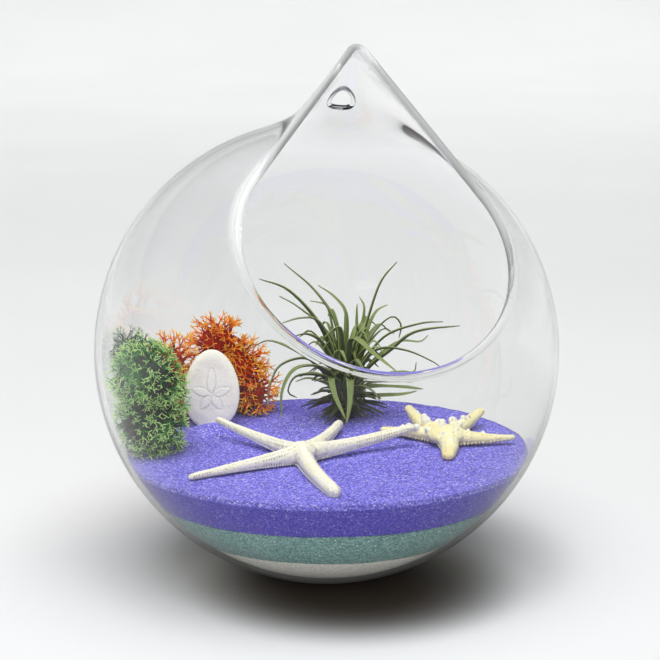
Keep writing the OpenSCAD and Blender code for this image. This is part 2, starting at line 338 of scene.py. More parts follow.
def skinFaces(rows, count):
    # four-sided faces over rows of points, each row a closed ring
    return [(n * count + j, n * count + (j + 1) % count,
             (n + 1) * count + (j + 1) % count, (n + 1) * count + j)
            for n in range(rows - 1) for j in range(count)]


def tubeFaces(rows, count):
    # closed with one face at each end
    ends = [tuple(range(count)), tuple(reversed(range((rows - 1) * count, rows * count)))]
    return skinFaces(rows, count) + ends


def domeFaces(rows, count):
    # closed with a fan at each end, to the two points after the rows
    faces = skinFaces(rows, count)
    low, last = rows * count, (rows - 1) * count
    for j in range(count):
        k = (j + 1) % count
        faces += [(k, j, low), (last + j, last + k, low + 1)]
    return faces


class Lattice:
    # smooth seeded noise in space, about -1 to 1
    def __init__(self, seed, size=17):
        self.size = size
        self.values = np.random.default_rng(seed).uniform(-1, 1, (size, size, size))

    def at(self, p, scale):
        q = np.asarray(p, float) * scale
        low = np.floor(q).astype(int)
        f = smoothStep(q - low)
        total = 0.0
        for corner in np.ndindex(2, 2, 2):
            share = 1.0
            for axis in range(3):
                share = share * np.where(corner[axis], f[..., axis], 1 - f[..., axis])
            at = [(low[..., axis] + corner[axis]) % self.size for axis in range(3)]
            total = total + share * self.values[tuple(at)]
        return total


glass = {
    "ballR": 90.0, "wall": 2.0, "baseR": 25.0, "baseT": 3.0,
    "mouthDepth": 73.008, "mouthTilt": 48.2, "peakReach": 94.478, "peakBack": 36.5,
    "sweep": 0.12, "lean": 6.7, "fadeAngle": 5.0, "beadR": 1.5, "tipBend": 3.1,
    "holeR": 4.0, "holeDrop": 26.5, "lipR": 1.05, "holeSpread": 2.6,
    "turns": 288, "flatSoft": 0.5, "flatSink": 0.02,
    # first, last and count of the angles round the bead and round the lip
    "beadAngles": (44, 316, 15), "lipAngles": (38, 322, 13),
    # rows of points by their way from the rim: the first ones, then each way with the step up to it
    "firstRows": [1.9, 3.0, 4.4], "rowSteps": [(11, 1.5), (28, 0.5), (60, 1.5), (205, 3.2)],
    "wholeWay": 208.0,
}
g = glass
midR = g["ballR"] - g["wall"] / 2
innerR = g["ballR"] - g["wall"]
centreZ = math.sqrt(g["ballR"] ** 2 - g["baseR"] ** 2)
mouthR = math.sqrt(midR ** 2 - g["mouthDepth"] ** 2)
tipHalf = math.asin(mouthR / g["peakReach"])
tipDist = math.hypot(g["mouthDepth"], g["peakReach"])
mouthToPeak = math.degrees(math.atan2(g["peakReach"], g["mouthDepth"]))
peakRise = tipDist / midR
frontSlope = g["mouthDepth"] / g["peakReach"]
sideSlope = math.tan(tipHalf) * tipDist / g["peakReach"]
depthSlope = math.tan(math.radians(g["peakBack"])) + frontSlope
tipCut = (g["tipBend"] / math.sin(tipHalf) - g["tipBend"]) * g["peakReach"] / tipDist / midR
skirtAngle = math.acos(midR / tipDist)
bendY = g["peakReach"] - g["tipBend"] / math.sin(tipHalf)


def glassReach(d):
    # distance of the glass from the ball's middle in ball radii; d is in the mouth's frame
    p = turned(d, "x", mouthToPeak)
    across = p[..., 0] / sideSlope
    along = (p[..., 1] - frontSlope * p[..., 2]) / depthSlope
    offset = frontSlope * peakRise / depthSlope
    room = peakRise ** 2 - offset ** 2 - tipCut ** 2
    half = along * offset + p[..., 2] * peakRise
    spreadOut = (across ** 2 + along ** 2 - p[..., 2] ** 2) * room
    cone = room / (half + np.sqrt(np.maximum(0, half ** 2 + spreadOut)))
    behind = (g["mouthDepth"] - midR * d[..., 2]) / midR
    soft = g["sweep"] * smoothStep(behind / 0.4) + 0.0001
    bend = np.maximum(0, soft - np.abs(cone - 1)) / soft
    swept = np.maximum(cone, 1) + bend ** 2 * soft / 4
    angle = np.arccos(np.clip(p[..., 2], -1, 1))
    fade = math.radians(g["fadeAngle"])
    return 1 + (swept - 1) * (1 - smoothStep((angle - skirtAngle + fade) / fade))


def glassSkin(d, radius):
    return d * (radius * glassReach(d))[..., None]


def glassNormal(d):
    side = unit(np.cross(d, [0.3, 0.9, 0.2]))
    up = np.cross(d, side)
    here = glassSkin(d, midR)
    acrossStep = glassSkin(unit(d + side * 1e-4), midR) - here
    upStep = glassSkin(unit(d + up * 1e-4), midR) - here
    n = unit(np.cross(acrossStep, upStep))
    return n * np.sign(np.sum(n * d, -1, keepdims=True))


def toWorld(v):
    return (turned(turned(v, "x", g["mouthTilt"]), "y", g["lean"]) + [0, 0, centreZ]) * mm


def mouthOutline(turn):
    # reach of the mouth's centre line in its plane, by the turn from the tip
    t = np.abs(turn)
    touch = math.pi / 2 - tipHalf
    line = mouthR / np.cos(np.clip(touch - t, 0, 1.5))
    bendTurn = math.atan2(g["tipBend"] * math.sin(touch), bendY + g["tipBend"] * math.cos(touch))
    tip = bendY * np.cos(t) + np.sqrt(np.maximum(0, g["tipBend"] ** 2 - (bendY * np.sin(t)) ** 2))
    return np.where(t < bendTurn, tip, line)


def rimTurns(count):
    # turns spaced evenly along the rim, closer at the tip
    fine = np.linspace(-math.pi, math.pi, 20001)
    r = mouthOutline(fine)
    p = np.stack([r * np.sin(fine), r * np.cos(fine)], -1)
    step = np.linalg.norm(np.diff(p, axis=0), axis=1)
    mid = (fine[1:] + fine[:-1]) / 2
    step *= 1 + 4 * np.exp(-(mid / 0.06) ** 2) + 0.8 * np.exp(-(mid / 0.3) ** 2)
    length = np.concatenate([[0], np.cumsum(step)])
    return np.interp(np.arange(count) * length[-1] / count, length, fine)


def makeGlobe(material):
    turns = rimTurns(g["turns"])
    count = len(turns)
    reach = mouthOutline(turns)
    rim = [reach * np.sin(turns), reach * np.cos(turns), np.full(count, g["mouthDepth"])]
    rim = np.stack(rim, -1)
    rimAngle = np.arctan2(reach, g["mouthDepth"])

    # rows of directions from the rim to the far side of the ball
    arc = list(g["firstRows"])
    for end, step in g["rowSteps"]:
        while arc[-1] < end:
            arc.append(arc[-1] + step)
    arc = np.array(arc)[:, None]
    share = arc / g["wholeWay"]
    keep = smoothStep(share / 0.5)
    rimShare = np.minimum(1, midR / np.linalg.norm(rim, axis=1))
    away = rimAngle + arc / midR * (1 - keep) * rimShare + share * (math.pi - rimAngle) * keep
    rows = np.stack([np.sin(away) * np.sin(turns), np.sin(away) * np.cos(turns), np.cos(away)], -1)

    # the hang hole opens a block of the rows and rounds it to a circle
    backTurn = math.radians(g["peakBack"])
    holeMid = turned([0, g["holeDrop"] * math.sin(backTurn),
                      tipDist - g["holeDrop"] * math.cos(backTurn)], "x", -mouthToPeak)
    holeDir = unit(holeMid)
    holePoint = glassSkin(holeDir, midR)
    holeNormal = glassNormal(holeDir)
    holeSide = unit(np.cross([0, 1.0, 0], holeNormal))
    holeUp = np.cross(holeNormal, holeSide)
    ringR = g["holeR"] + g["lipR"]
    openR = ringR + 0.75 * g["lipR"]
    flat = np.dot(holePoint, holeNormal) / np.maximum(np.sum(rows * holeNormal, -1), 0.2)
    flat = rows * flat[..., None] - holePoint
    acrossAt, upAt = flat @ holeSide, flat @ holeUp
    midRow = np.argmin(np.linalg.norm(flat.reshape(-1, 3), axis=1))
    rowMid, colMid = divmod(midRow, count)
    colHalf = int(np.sum((np.abs(acrossAt[rowMid]) < openR) & (np.abs(turns) < 1)) // 2)
    rowHalf = int(np.sum(np.abs(upAt[:, colMid]) < openR) // 2)
    rowIndex, colIndex = np.mgrid[0:len(arc), 0:count]
    u = ((colIndex - colMid + count // 2) % count - count // 2) / colHalf
    v = (rowIndex - rowMid) / rowHalf
    c = np.maximum(np.abs(u), np.abs(v))
    spread = g["holeSpread"]
    near = (c < spread) & (c > 0)
    acrossSign = np.sign(acrossAt[rowMid, colMid + 2] - acrossAt[rowMid, colMid - 2])
    upSign = np.sign(upAt[rowMid + 2, colMid] - upAt[rowMid - 2, colMid])
    turnAt = np.arctan2(v * upSign, u * acrossSign)
    ring = np.where(c < 1, c, 1 + (c - 1) * 0.9) * openR
    w = smoothStep((c - 1) / (spread - 1))
    moved = unit(holePoint + holeSide * (ring * np.cos(turnAt) * (1 - w) + acrossAt * w)[..., None]
                 + holeUp * (ring * np.sin(turnAt) * (1 - w) + upAt * w)[..., None])
    rows = np.where(near[..., None], moved, rows)

    points, faces = [], []

    def addRow(row):
        start = len(points)
        points.extend(row)
        return start

    outer = [addRow(row) for row in glassSkin(rows, g["ballR"])]
    inner = [addRow(row) for row in glassSkin(rows, innerR)]

    # rounded bead from the outer skin round to the inner one
    rimDir = unit(rim)
    normal = glassNormal(rimDir)
    nextRim, lastRim = np.roll(rim, -1, 0), np.roll(rim, 1, 0)
    course = unit(nextRim - lastRim)
    normal = unit(normal - course * np.sum(normal * course, -1, keepdims=True))
    back = np.cross(normal, course)
    firstRow = glassSkin(rows[0], midR)
    back *= np.sign(np.sum(back * (firstRow - rim), -1, keepdims=True))
    beads = []
    for a in np.radians(np.linspace(*g["beadAngles"])):
        beads.append(addRow(rim + g["beadR"] * (back * math.cos(a) + normal * math.sin(a))))

    inHole = (c <= 1.001) & (np.roll(c, -1, 1) <= 1.001)
    cutOut = inHole[:-1] & inHole[1:]

    def joinRows(first, second, row=None):
        for j in range(count):
            if row is None or not cutOut[row, j]:
                k = (j + 1) % count
                faces.append((first + j, first + k, second + k, second + j))

    for n in range(len(outer) - 1, 0, -1):
        joinRows(outer[n], outer[n - 1], n - 1)
    for first, second in zip([outer[0]] + beads, beads + [inner[0]]):
        joinRows(first, second)
    for n in range(len(inner) - 1):
        joinRows(inner[n], inner[n + 1], n)
    for start, radius, flip in ((outer[-1], g["ballR"], True), (inner[-1], innerR, False)):
        pole = len(points)
        points.append(np.array([0, 0, -radius]))
        for j in range(count):
            k = (j + 1) % count
            faces.append((start + k, start + j, pole) if flip else (start + j, start + k, pole))

    # rolled lip of the hang hole
    edge = [(rowMid - rowHalf, colMid + n) for n in range(-colHalf, colHalf)]
    edge += [(rowMid + n, colMid + colHalf) for n in range(-rowHalf, rowHalf)]
    edge += [(rowMid + rowHalf, colMid - n) for n in range(-colHalf, colHalf)]
    edge += [(rowMid - n, colMid - colHalf) for n in range(-rowHalf, rowHalf)]
    edge = [(r, col % count) for r, col in edge]
    loops = [[outer[r] + col for r, col in edge]]
    ringTurn = np.array([turnAt[r, col] for r, col in edge])[:, None]
    out = holeSide * np.cos(ringTurn) + holeUp * np.sin(ringTurn)
    ringMid = glassSkin(unit(holePoint + out * ringR), midR)
    for a in np.radians(np.linspace(*g["lipAngles"])):
        ring = ringMid + g["lipR"] * (out * math.cos(a) + holeNormal * math.sin(a))
        loops.append([addRow([p]) for p in ring])
    loops.append([inner[r] + col for r, col in edge])
    for first, second in zip(loops, loops[1:]):
        for j in range(len(edge)):
            k = (j + 1) % len(edge)
            faces.append((first[k], first[j], second[j], second[k]))

    # the foot is flattened softly, outside to the floor and inside to the base's thickness
    world = toWorld(np.array(points))
    onInside = np.zeros(len(points), bool)
    for start in inner:
        onInside[start:start + count] = True
    onInside[pole] = True
    soft = g["flatSoft"] * mm
    for side, level, sink in ((False, 0.0, g["flatSink"] * mm), (True, g["baseT"] * mm, 0.0)):
        z = world[:, 2] - level
        low = np.maximum(level + (z + np.sqrt(z * z + soft * soft)) / 2 - sink, level)
        world[:, 2] = np.where((onInside == side) & (z < 12 * soft), low, world[:, 2])

    # drops the points inside the hole that no face uses
    used = sorted({n for f in faces for n in f})
    index = {n: k for k, n in enumerate(used)}
    faces = [tuple(index[n] for n in f) for f in faceOutwards(world, faces)]
    piece = placeMesh(makeMesh("globe_glass", world[used], faces, material), "clear_glass", "globe")
    # painted highlight: the bead and the first rows beside it on the mouth's flanks take a share of
    # pale opaque glass
    pale = np.zeros(len(points))
    flank = 1 - smoothStep((np.abs(turns) - 1.1) / 0.9)
    shares = {**dict.fromkeys(beads, 1.0), outer[0]: 0.9, inner[0]: 0.9, outer[1]: 0.5, inner[1]: 0.5}
    for start, part in shares.items():
        pale[start:start + count] = flank * part
    paint(piece.data, rimPale=pale[used])
    return piece


def glassFinish():
    f = Finish("clear glass")
    waves = f.bump(f.noise(f.place(), 14.0, 2.0, 0.4), 0.12, 0.002)
    clear = f.add("ShaderNodeBsdfPrincipled", None, {
        "Base Color": (0.99, 0.997, 0.994), "Roughness": 0.0, "IOR": 1.47,
        "Transmission Weight": 1.0, "Normal": waves})
    pale = f.add("ShaderNodeBsdfPrincipled", None, {
        "Base Color": (0.90, 0.91, 0.90), "Roughness": 0.15, "IOR": 1.47, "Normal": waves})
    # clear glass alone looks black along the bead, so pale opaque glass is mixed in there as a painted
    # highlight
    return f.close(f.add("ShaderNodeMixShader", None,
                         {0: f.painted("rimPale") * 0.45, 1: clear, 2: pale}))


globe = makeGlobe(glassFinish())
globe.visible_shadow = False
globe.visible_diffuse = False
print("glass:", len(globe.data.polygons), "faces")


sand = {
    "gap": 0.15, "floor": 3.2, "frontRise": 0.015,
    # height that all the things on the sand are set from
    "bed": 48.2,
    "moundAt": (-38.5, 35.0), "moundR": 15.0, "moundH": 2.85,
    "turns": 240, "rings": 60, "sideRows": 14, "seed": 11,
    # from the bottom up: height in the middle, waves (height, scale, shift), lift off the layer below,
    # colours, and the richer, darker colour below sideTop (in metres) where the glass presses on the
    # sand, partly painted shade
    "layers": {
        "white": {
            "top": 20.0, "waves": [(0.9, 0.035, 0), (0.25, 0.13, 0)], "lift": 0.0,
            "colours": [(0.72, 0.67, 0.58), (0.93, 0.90, 0.82), (0.99, 0.97, 0.92)],
            "spark": 0.03, "sideTop": 0.001, "sideShareWithShade": 0.0, "sideColourWithShade": (1.0, 1.0, 1.0),
        },
        "teal": {
            "top": 33.7, "waves": [(0.7, 0.03, 50), (0.2, 0.12, 50)], "lift": 0.05,
            "colours": [(0.10, 0.22, 0.21), (0.18, 0.36, 0.34), (0.34, 0.54, 0.50)],
            "spark": 0.012, "sideTop": 0.001, "sideShareWithShade": 0.0, "sideColourWithShade": (1.0, 1.0, 1.0),
        },
        "violet": {
            "top": 48.1, "waves": [(0.28, 0.06, 90), (0.12, 0.25, 20)], "lift": 0.05,
            "colours": [(0.085, 0.068, 0.45), (0.205, 0.172, 0.87), (0.41, 0.375, 0.98)],
            "spark": 0.05, "sideTop": 0.0477, "sideShareWithShade": 0.72, "sideColourWithShade": (0.035, 0.012, 0.38),
        },
    },
}
sandR = innerR - sand["gap"]
sandNoise = Lattice(sand["seed"])


def sandLevel(name, x, y):
    # height of a layer's top over the place x, y
    x, y = np.asarray(x, float), np.asarray(y, float)
    if name == "floor":
        return np.full_like(x, sand["floor"])
    layer = sand["layers"][name]
    place = np.stack([x, y, np.full_like(x, 3.3)], -1)
    level = layer["top"] - y * sand["frontRise"]
    for height, scale, shift in layer["waves"]:
        level = level + height * sandNoise.at(place + shift, scale)
    if name == "violet":
        away = np.hypot(x - sand["moundAt"][0], y - sand["moundAt"][1]) / sand["moundR"]
        level = level + sand["moundH"] * (1 - smoothStep(away))
    return level


def makeSand(name, below, layer):
    turn = np.linspace(0, 2 * math.pi, sand["turns"], endpoint=False)

    def edge(level, shift):
        # where the level meets the glass all round
        r = np.full_like(turn, sandR * 0.9)
        for _ in range(12):
            z = sandLevel(level, r * np.cos(turn), r * np.sin(turn)) + shift
            r = 0.5 * r + 0.5 * np.sqrt(np.maximum(1, sandR ** 2 - (z - centreZ) ** 2))
        return r, z

    def ring(level, r, shift):
        return around(turn, r, sandLevel(level, r * np.cos(turn), r * np.sin(turn)) + shift)

    lowR, lowZ = edge(below, layer["lift"])
    highR, highZ = edge(name, 0.0)
    rows = [ring(below, lowR * share, layer["lift"])
            for share in np.linspace(0.02, 1, sand["rings"] // 3)]
    for share in np.linspace(0, 1, sand["sideRows"])[1:-1]:
        z = lowZ + (highZ - lowZ) * share
        r = np.sqrt(sandR ** 2 - (z - centreZ) ** 2)
        rows.append(around(turn, r, z))
    rows += [ring(name, highR * share, 0.0) for share in np.linspace(1, 0.01, sand["rings"])]
    points = np.concatenate(rows + [rows[0].mean(0, keepdims=True), rows[-1].mean(0, keepdims=True)])
    faces = faceOutwards(points, domeFaces(len(rows), len(turn)))
    mesh = makeMesh(f"{name}_sand_fill", points * mm, faces, sandFinish(name, layer))
    placeMesh(mesh, f"{name}_sand", f"{name}_sand")


def sandFinish(name, layer):
    f = Finish(name + " sand")
    place = f.place()
    patch = f.noise(place, 60.0, 4.0, 0.6)
    grain = f.add("ShaderNodeSeparateColor", None, {"Color": f.cells(place, 1900.0, "Color")})
    tone = f.mask(grain * 0.95 + patch * 0.4, 0.15, 1.2)
    colour = f.ramp(tone, list(zip((0.0, 0.5, 1.0), layer["colours"])))
    # sand pressed against the glass is richer than the dry top, and glints less; the darker tint on
    # the sides is partly painted shade
    onSide = f.mask(f.part(place, "Z"), layer["sideTop"] - 0.0012, layer["sideTop"], 1.0, 0.0)
    colour = f.tint(onSide * layer["sideShareWithShade"], colour, layer["sideColourWithShade"])
    glint = f.mask(grain, 1.0 - layer["spark"], 1.0 - layer["spark"] * 0.6) * (1 - onSide * 0.8)
    colour = f.tint(glint * 0.75, colour, (0.95, 0.95, 1.0))
    lumps = f.cells(place, 1900.0)
    height = (1 - lumps) * 0.6 + f.noise(place, 900.0, 2.0, 0.6) * 0.4
    return f.surface(colour, f.mask(glint, 0.0, 1.0, 0.85, 0.25), 0.35, f.bump(height, 0.9, 0.0008))


below = "floor"
for name, layer in sand["layers"].items():
    makeSand(name, below, layer)
    below = name
print("sand:", len(sand["layers"]), "layers")


def sweep(path, sections):
    # skin over a row of sections, each a loop of (side, up) offsets; the ends are capped
    path = np.asarray(path, float)
    course = unit(np.gradient(path, axis=0))
    side = unit(np.cross(course, [0.0, 0.0, 1.0]) + 1e-9)
    up = np.cross(side, course)
    points = np.concatenate([path[n] + side[n] * loop[:, :1] + up[n] * loop[:, 1:2]
                             for n, loop in enumerate(sections)])
    return points, faceOutwards(points, tubeFaces(len(sections), len(sections[0])))


def roundLoop(width, height, sides):
    a = np.linspace(0, 2 * math.pi, sides, endpoint=False)
    return np.stack([np.cos(a) * width, np.sin(a) * height], -1)


def joinShells(shells):
    points, faces, start = [], [], 0
    for p, f in shells:
        points.append(np.asarray(p, float))
        faces.extend(tuple(n + start for n in face) for face in f)
        start += len(p)
    return np.concatenate(points), faces


def roundShell(middle, radius, rows=10, sides=16, flatten=1.0):
    a = np.linspace(-math.pi / 2, math.pi / 2, rows)[1:-1]
    t = np.linspace(0, 2 * math.pi, sides, endpoint=False)
    ring = np.stack([np.outer(np.cos(a), np.cos(t)), np.outer(np.cos(a), np.sin(t)),
                     np.outer(np.sin(a), np.ones(sides)) * flatten], -1).reshape(-1, 3)
    points = np.concatenate([ring, [[0, 0, -flatten], [0, 0, flatten]]]) * radius + middle
    return points, faceOutwards(points, domeFaces(len(a), sides))


def meltTogether(name, shells, voxel, relaxing):
    # overlapping closed shells become one even skin; gives its points in mm, faces and normals
    points, faces = joinShells(shells)
    mesh = bpy.data.meshes.new(name + "_lump")
    mesh.from_pydata([tuple(p) for p in points * mm], [], faces)
    lump = addToScene(name + "_lump", mesh)
    melt = lump.modifiers.new("melt", "REMESH")
    melt.mode = "VOXEL"
    melt.voxel_size = voxel * mm
    relax = lump.modifiers.new("relax", "SMOOTH")
    relax.factor, relax.iterations = 0.5, relaxing
    done = plainMesh(lump)
    faces = [tuple(f.vertices) for f in done.polygons]
    return readRows(done.vertices, "co") / mm, faces, readRows(done.vertex_normals, "vector")


stars = {
    "finger": {
        "at": (-15.3, -23.2), "raise": 0.4, "height": 8.6, "rootR": 3.35, "tipR": 1.85,
        "flatness": 0.95, "dome": 1.3, "rootRise": 0.28, "voxel": 0.4, "relaxing": 4,
        # tip of each arm from the middle, lift of its underside, sideways bow, share of tipR
        "arms": [(-24, 45, 5.2, -2.0, 0.75), (-44, -13, 0.6, -1.2, 0.7), (2, -44, 0.0, -1.0, 1.4),
                 (47, 14, 5.4, 2.0, 1.0), (25, 43, 0.6, -1.0, 1.0)],
        "knobs": [],
        "spineStep": 1.0, "spineLong": 0.85, "spineWide": 0.34,
        "pale": (1.0, 0.97, 0.80), "warm": (1.0, 0.94, 0.66), "shade": (0.30, 0.23, 0.12),
        "dotStep": 1.1, "dotSize": 0.2, "whiteTop": 0.0,
    },
    "knobby": {
        "at": (46.2, -10.2), "raise": 0.4, "height": 7.4, "rootR": 5.2, "tipR": 1.9,
        "flatness": 0.72, "dome": 2.2, "rootRise": 0.0, "voxel": 0.36, "relaxing": 2,
        "arms": [(-6, 33, 5.0, 1.0, 1.0), (-20, 20, 0.4, -0.6, 0.9), (-6, -21.5, 0.0, 0.8, 1.3),
                 (25, -7, 1.6, -0.8, 0.8), (22, 24, 4.2, 0.8, 1.0)],
        # place and radius
        "knobs": [(-10, 8, 1.6), (-5, 12, 2.0), (1, 13, 2.1), (6, 11, 1.8), (0, 6, 1.6), (-7, 3, 1.2),
                  (-12, 12, 1.3), (7, 5, 1.3), (-2, 0, 1.0), (11, 13, 1.3), (-4, 18, 1.3),
                  (3, -4, 0.7), (-3, -6, 0.7), (9, 0, 0.8), (14, 15, 0.8), (-5, 24, 0.8),
                  (-2, -12, 0.6), (14, -4, 0.6), (-14, 14, 0.9)],
        "spineStep": 1.5, "spineLong": 1.3, "spineWide": 0.6,
        "pale": (0.95, 0.90, 0.56), "warm": (0.93, 0.78, 0.34), "shade": (0.45, 0.30, 0.12),
        "dotStep": 1.9, "dotSize": 0.1, "whiteTop": 1.0,
    },
}


def armLine(arm, count=24):
    # centre line of an arm on the sand: place, and the share of the way to the tip
    x, y, lift, bow = arm[:4]
    t = np.linspace(0, 1, count)
    side = unit(np.array([-y, x]))
    swing = bow * np.sin(math.pi * t)
    return np.stack([x * t + side[0] * swing, y * t + side[1] * swing, lift * t * t], -1), t


def armRadius(star, arm, t, taper=0.8):
    return star["rootR"] + (star["tipR"] * arm[4] - star["rootR"]) * t ** taper


def starShells(star):
    flatness, half = star["flatness"], star["height"] * 0.5
    shells = []
    for arm in star["arms"]:
        line, t = armLine(arm)
        r = armRadius(star, arm, t)
        high = r * flatness * (1 + star["rootRise"] * (1 - t) ** 2)
        body = line + np.stack([0 * t, 0 * t, high], -1)
        shells.append(sweep(body, [roundLoop(a, b, 16) for a, b in zip(r, high)]))
        shells.append(roundShell(body[-1], r[-1], flatten=flatness))
    shells.append(roundShell((0, 0, half), half * star["dome"], flatten=1 / star["dome"]))
    return shells


def armPlace(star, points):
    # for each point: way along the nearest arm and the side it lies on, both in mm,
    # and its share of the half width
    best = np.full(len(points), 1e9)
    along, across, share = np.zeros((3, len(points)))
    for n, arm in enumerate(star["arms"]):
        line, t = armLine(arm, 40)
        gaps = points[:, None, :2] - line[None, :, :2]
        d = np.linalg.norm(gaps, axis=2)
        k = np.argmin(d, 1)
        rows = np.arange(len(points))
        heading = unit(np.gradient(line[:, :2], axis=0))[k]
        near, nearD = gaps[rows, k], d[rows, k]
        side = heading[:, 0] * near[:, 1] - heading[:, 1] * near[:, 0]
        further = np.sum(heading * near, -1)
        closer = nearD < best
        best = np.where(closer, nearD, best)
        along = np.where(closer, t[k] * math.hypot(arm[0], arm[1]) + further + n * 100, along)
        across = np.where(closer, side, across)
        share = np.where(closer, np.abs(side) / armRadius(star, arm, t[k]), share)
    return along, across, share


def starOutline(star, reach):
    # one closed line round all the arms, wound so that its left side faces out
    loop = []
    for arm in sorted(star["arms"], key=lambda a: math.atan2(a[1], a[0])):
        line, t = armLine(arm, 20)
        heading = unit(np.gradient(line[:, :2], axis=0))
        left = np.stack([-heading[:, 1], heading[:, 0]], -1)
        r = armRadius(star, arm, t, taper=1.0) * reach
        z = line[:, 2:] + 0.9
        # the first two points of each side lie inside the middle
        out = np.hstack([line[:, :2] - left * r[:, None], z])[2:]
        home = np.hstack([line[:, :2] + left * r[:, None], z])[2:][::-1]
        cap = [np.append(line[-1, :2] + heading[-1] * r[-1] * math.cos(a)
                         + left[-1] * r[-1] * math.sin(a), z[-1])
               for a in np.linspace(-math.pi / 2, math.pi / 2, 7)[1:-1]]
        loop.extend([*out, *cap, *home])
    return np.array(loop)


def spineTree():
    # short blunt spines along a line, pointing out of it
    t = Growth("edge spines",
               {"Spacing": 0.001, "Length": 0.001, "Width": 0.0004, "Tilt": 0.3, "Seed": 3})
    line = t.add("GeometryNodeMeshToCurve", None, {"Mesh": t.given("Geometry")})
    line = t.add("GeometryNodeResampleCurve", {"mode": "LENGTH"},
                 {"Curve": line, "Length": t.given("Spacing")})
    line = t.add("GeometryNodeSetCurveNormal", {"mode": "Z_UP"}, {"Curve": line})
    normal = t.add("GeometryNodeInputNormal")
    lift = t.add("ShaderNodeCombineXYZ", None, {"Z": t.given("Tilt")})
    heading = t.vectorMath("SUBTRACT", lift, normal, "Vector")
    facing = t.add("FunctionNodeAlignRotationToVector", {"axis": "Z"}, {"Vector": heading})
    spine = t.add("GeometryNodeMeshCone", None, {
        "Vertices": 6, "Side Segments": 2, "Radius Top": t.given("Width") * 0.3,
        "Radius Bottom": t.given("Width"), "Depth": t.given("Length")})
    t.close(t.add("GeometryNodeInstanceOnPoints", None, {
        "Points": line, "Instance": spine, "Rotation": facing, "Scale": t.chance(0.7, 1.15)}))
    return t


def starFinish(name, star):
    f = Finish(name + " starfish")
    place = f.place()
    dots = f.add("ShaderNodeTexVoronoi", {"voronoi_dimensions": "2D"},
                 {"Vector": f.painted("armPlace", "Vector"), "Scale": 1.0 / star["dotStep"],
                  "Randomness": 0.35}, "Distance")
    pit = f.mask(dots, star["dotSize"], star["dotSize"] + 0.12, 1.0, 0.0) * f.painted("poreRow")
    cloud = f.noise(place, 70.0, 4.0, 0.6)
    grain = f.cells(place, 1500.0)
    colour = f.ramp(cloud, [(0.25, star["warm"]), (0.6, star["pale"]), (0.8, star["pale"])])
    colour = f.tint(f.painted("knob") * star["whiteTop"], colour, (0.95, 0.94, 0.88))
    # painted shade: the skin darkens towards the sand along its foot, within 1.3 mm of it
    under = f.mask(f.painted("heightUp"), 0.0, 1.3, 0.5, 0.0)
    for share in (f.mask(grain, 0.3, 0.75) * 0.1, pit * 0.6, under):
        colour = f.tint(share, colour, star["shade"])
    height = (1 - grain) * 0.35 + f.noise(place, 600.0, 3.0, 0.6) * 0.3 - pit * 0.7
    return f.surface(colour, 0.72, 0.3, f.bump(height, 0.8, 0.0005))


def starTop(star, x, y):
    # height of the skin over the place x, y
    half = star["height"] / 2
    top = half + half * math.sqrt(max(0, 1 - (math.hypot(x, y) / (half * star["dome"])) ** 2))
    for arm in star["arms"]:
        line, t = armLine(arm, 60)
        away = np.hypot(line[:, 0] - x, line[:, 1] - y)
        r = armRadius(star, arm, t)
        over = line[:, 2] + star["flatness"] * (r + np.sqrt(np.maximum(0, r * r - away * away)))
        if np.any(away < r):
            top = max(top, np.max(over[away < r]))
    return top


def band(v, low, high):
    # 1 between low and high, with soft ends
    return smoothStep((v - low) / 0.06) * (1 - smoothStep((v - high) / 0.06))


def makeStar(name, star, spines):
    material = starFinish(name, star)
    knobs = [((x, y, starTop(star, x, y) + 0.45 * r), r) for x, y, r in star["knobs"]]
    shells = starShells(star) + [roundShell(middle, r) for middle, r in knobs]
    points, faces, normals = meltTogether(name + "_star", shells, star["voxel"], star["relaxing"])
    along, across, share = armPlace(star, points)
    rows = np.cos(across * 2 * math.pi / 1.6) * np.cos(along * 2 * math.pi / 1.3)
    rough = Lattice(5).at(points, 0.9) * 0.13 + rows * 0.07
    points = points + normals * rough[:, None]
    knob = np.zeros(len(points))
    for middle, r in knobs:
        away = np.linalg.norm(points - middle, axis=1)
        knob = np.maximum(knob, 1 - smoothStep((away - r) / 0.9 + 0.3))
    points[:, 2] = np.maximum(points[:, 2], -0.25)
    move = np.array([*star["at"], sand["bed"] + star["raise"]])
    piece = placeMesh(makeMesh(name + "_star", (points + move) * mm, faces, material),
                      "starfish", name + "_starfish")
    paint(piece.data, armPlace=np.stack([along, across, 0 * along], -1), knob=knob,
          poreRow=band(share, 0.40, 0.56) + 0.9 * band(share, 0.80, 0.92), heightUp=points[:, 2])
    loop = (starOutline(star, 0.9) + move) * mm
    edges = [(n, (n + 1) % len(loop)) for n in range(len(loop))]
    mesh = spines.grow(name + "_star_spines", loop, edges, [], material,
                       Spacing=star["spineStep"] * mm, Length=star["spineLong"] * mm,
                       Width=star["spineWide"] * mm)
    none = np.zeros(len(mesh.vertices))
    paint(mesh, armPlace=np.zeros((len(none), 3)), knob=none, poreRow=none, heightUp=none + 3.0)
    placeMesh(setSmooth(mesh), "starfish")


spines = spineTree()
for name, star in stars.items():
    makeStar(name, star, spines)
print("starfish:", len(stars))


shell = {
    "at": (-38.5, 43.0), "wide": 23.0, "tall": 33.0, "thick": 4.0, "lean": 20.0, "turn": -13.0,
    "sink": 1.2, "narrowTop": 0.12, "rings": 90, "spokes": 220, "seed": 21,
    "petalMid": (0.0, -2.6), "petalLongs": [11.61, 8.6, 7.31, 7.31, 8.6], "petalWide": 1.9,
    "petalRise": 0.16, "slitDepth": 0.18, "slitStep": 0.9, "dip": 0.35, "rough": 0.06,
    # the underside: share of the rim, and height
    "under": [(0.995, 0.75), (0.97, 0.4), (0.93, 0.12), (0.85, 0.02), (0.4, 0.0)],
}


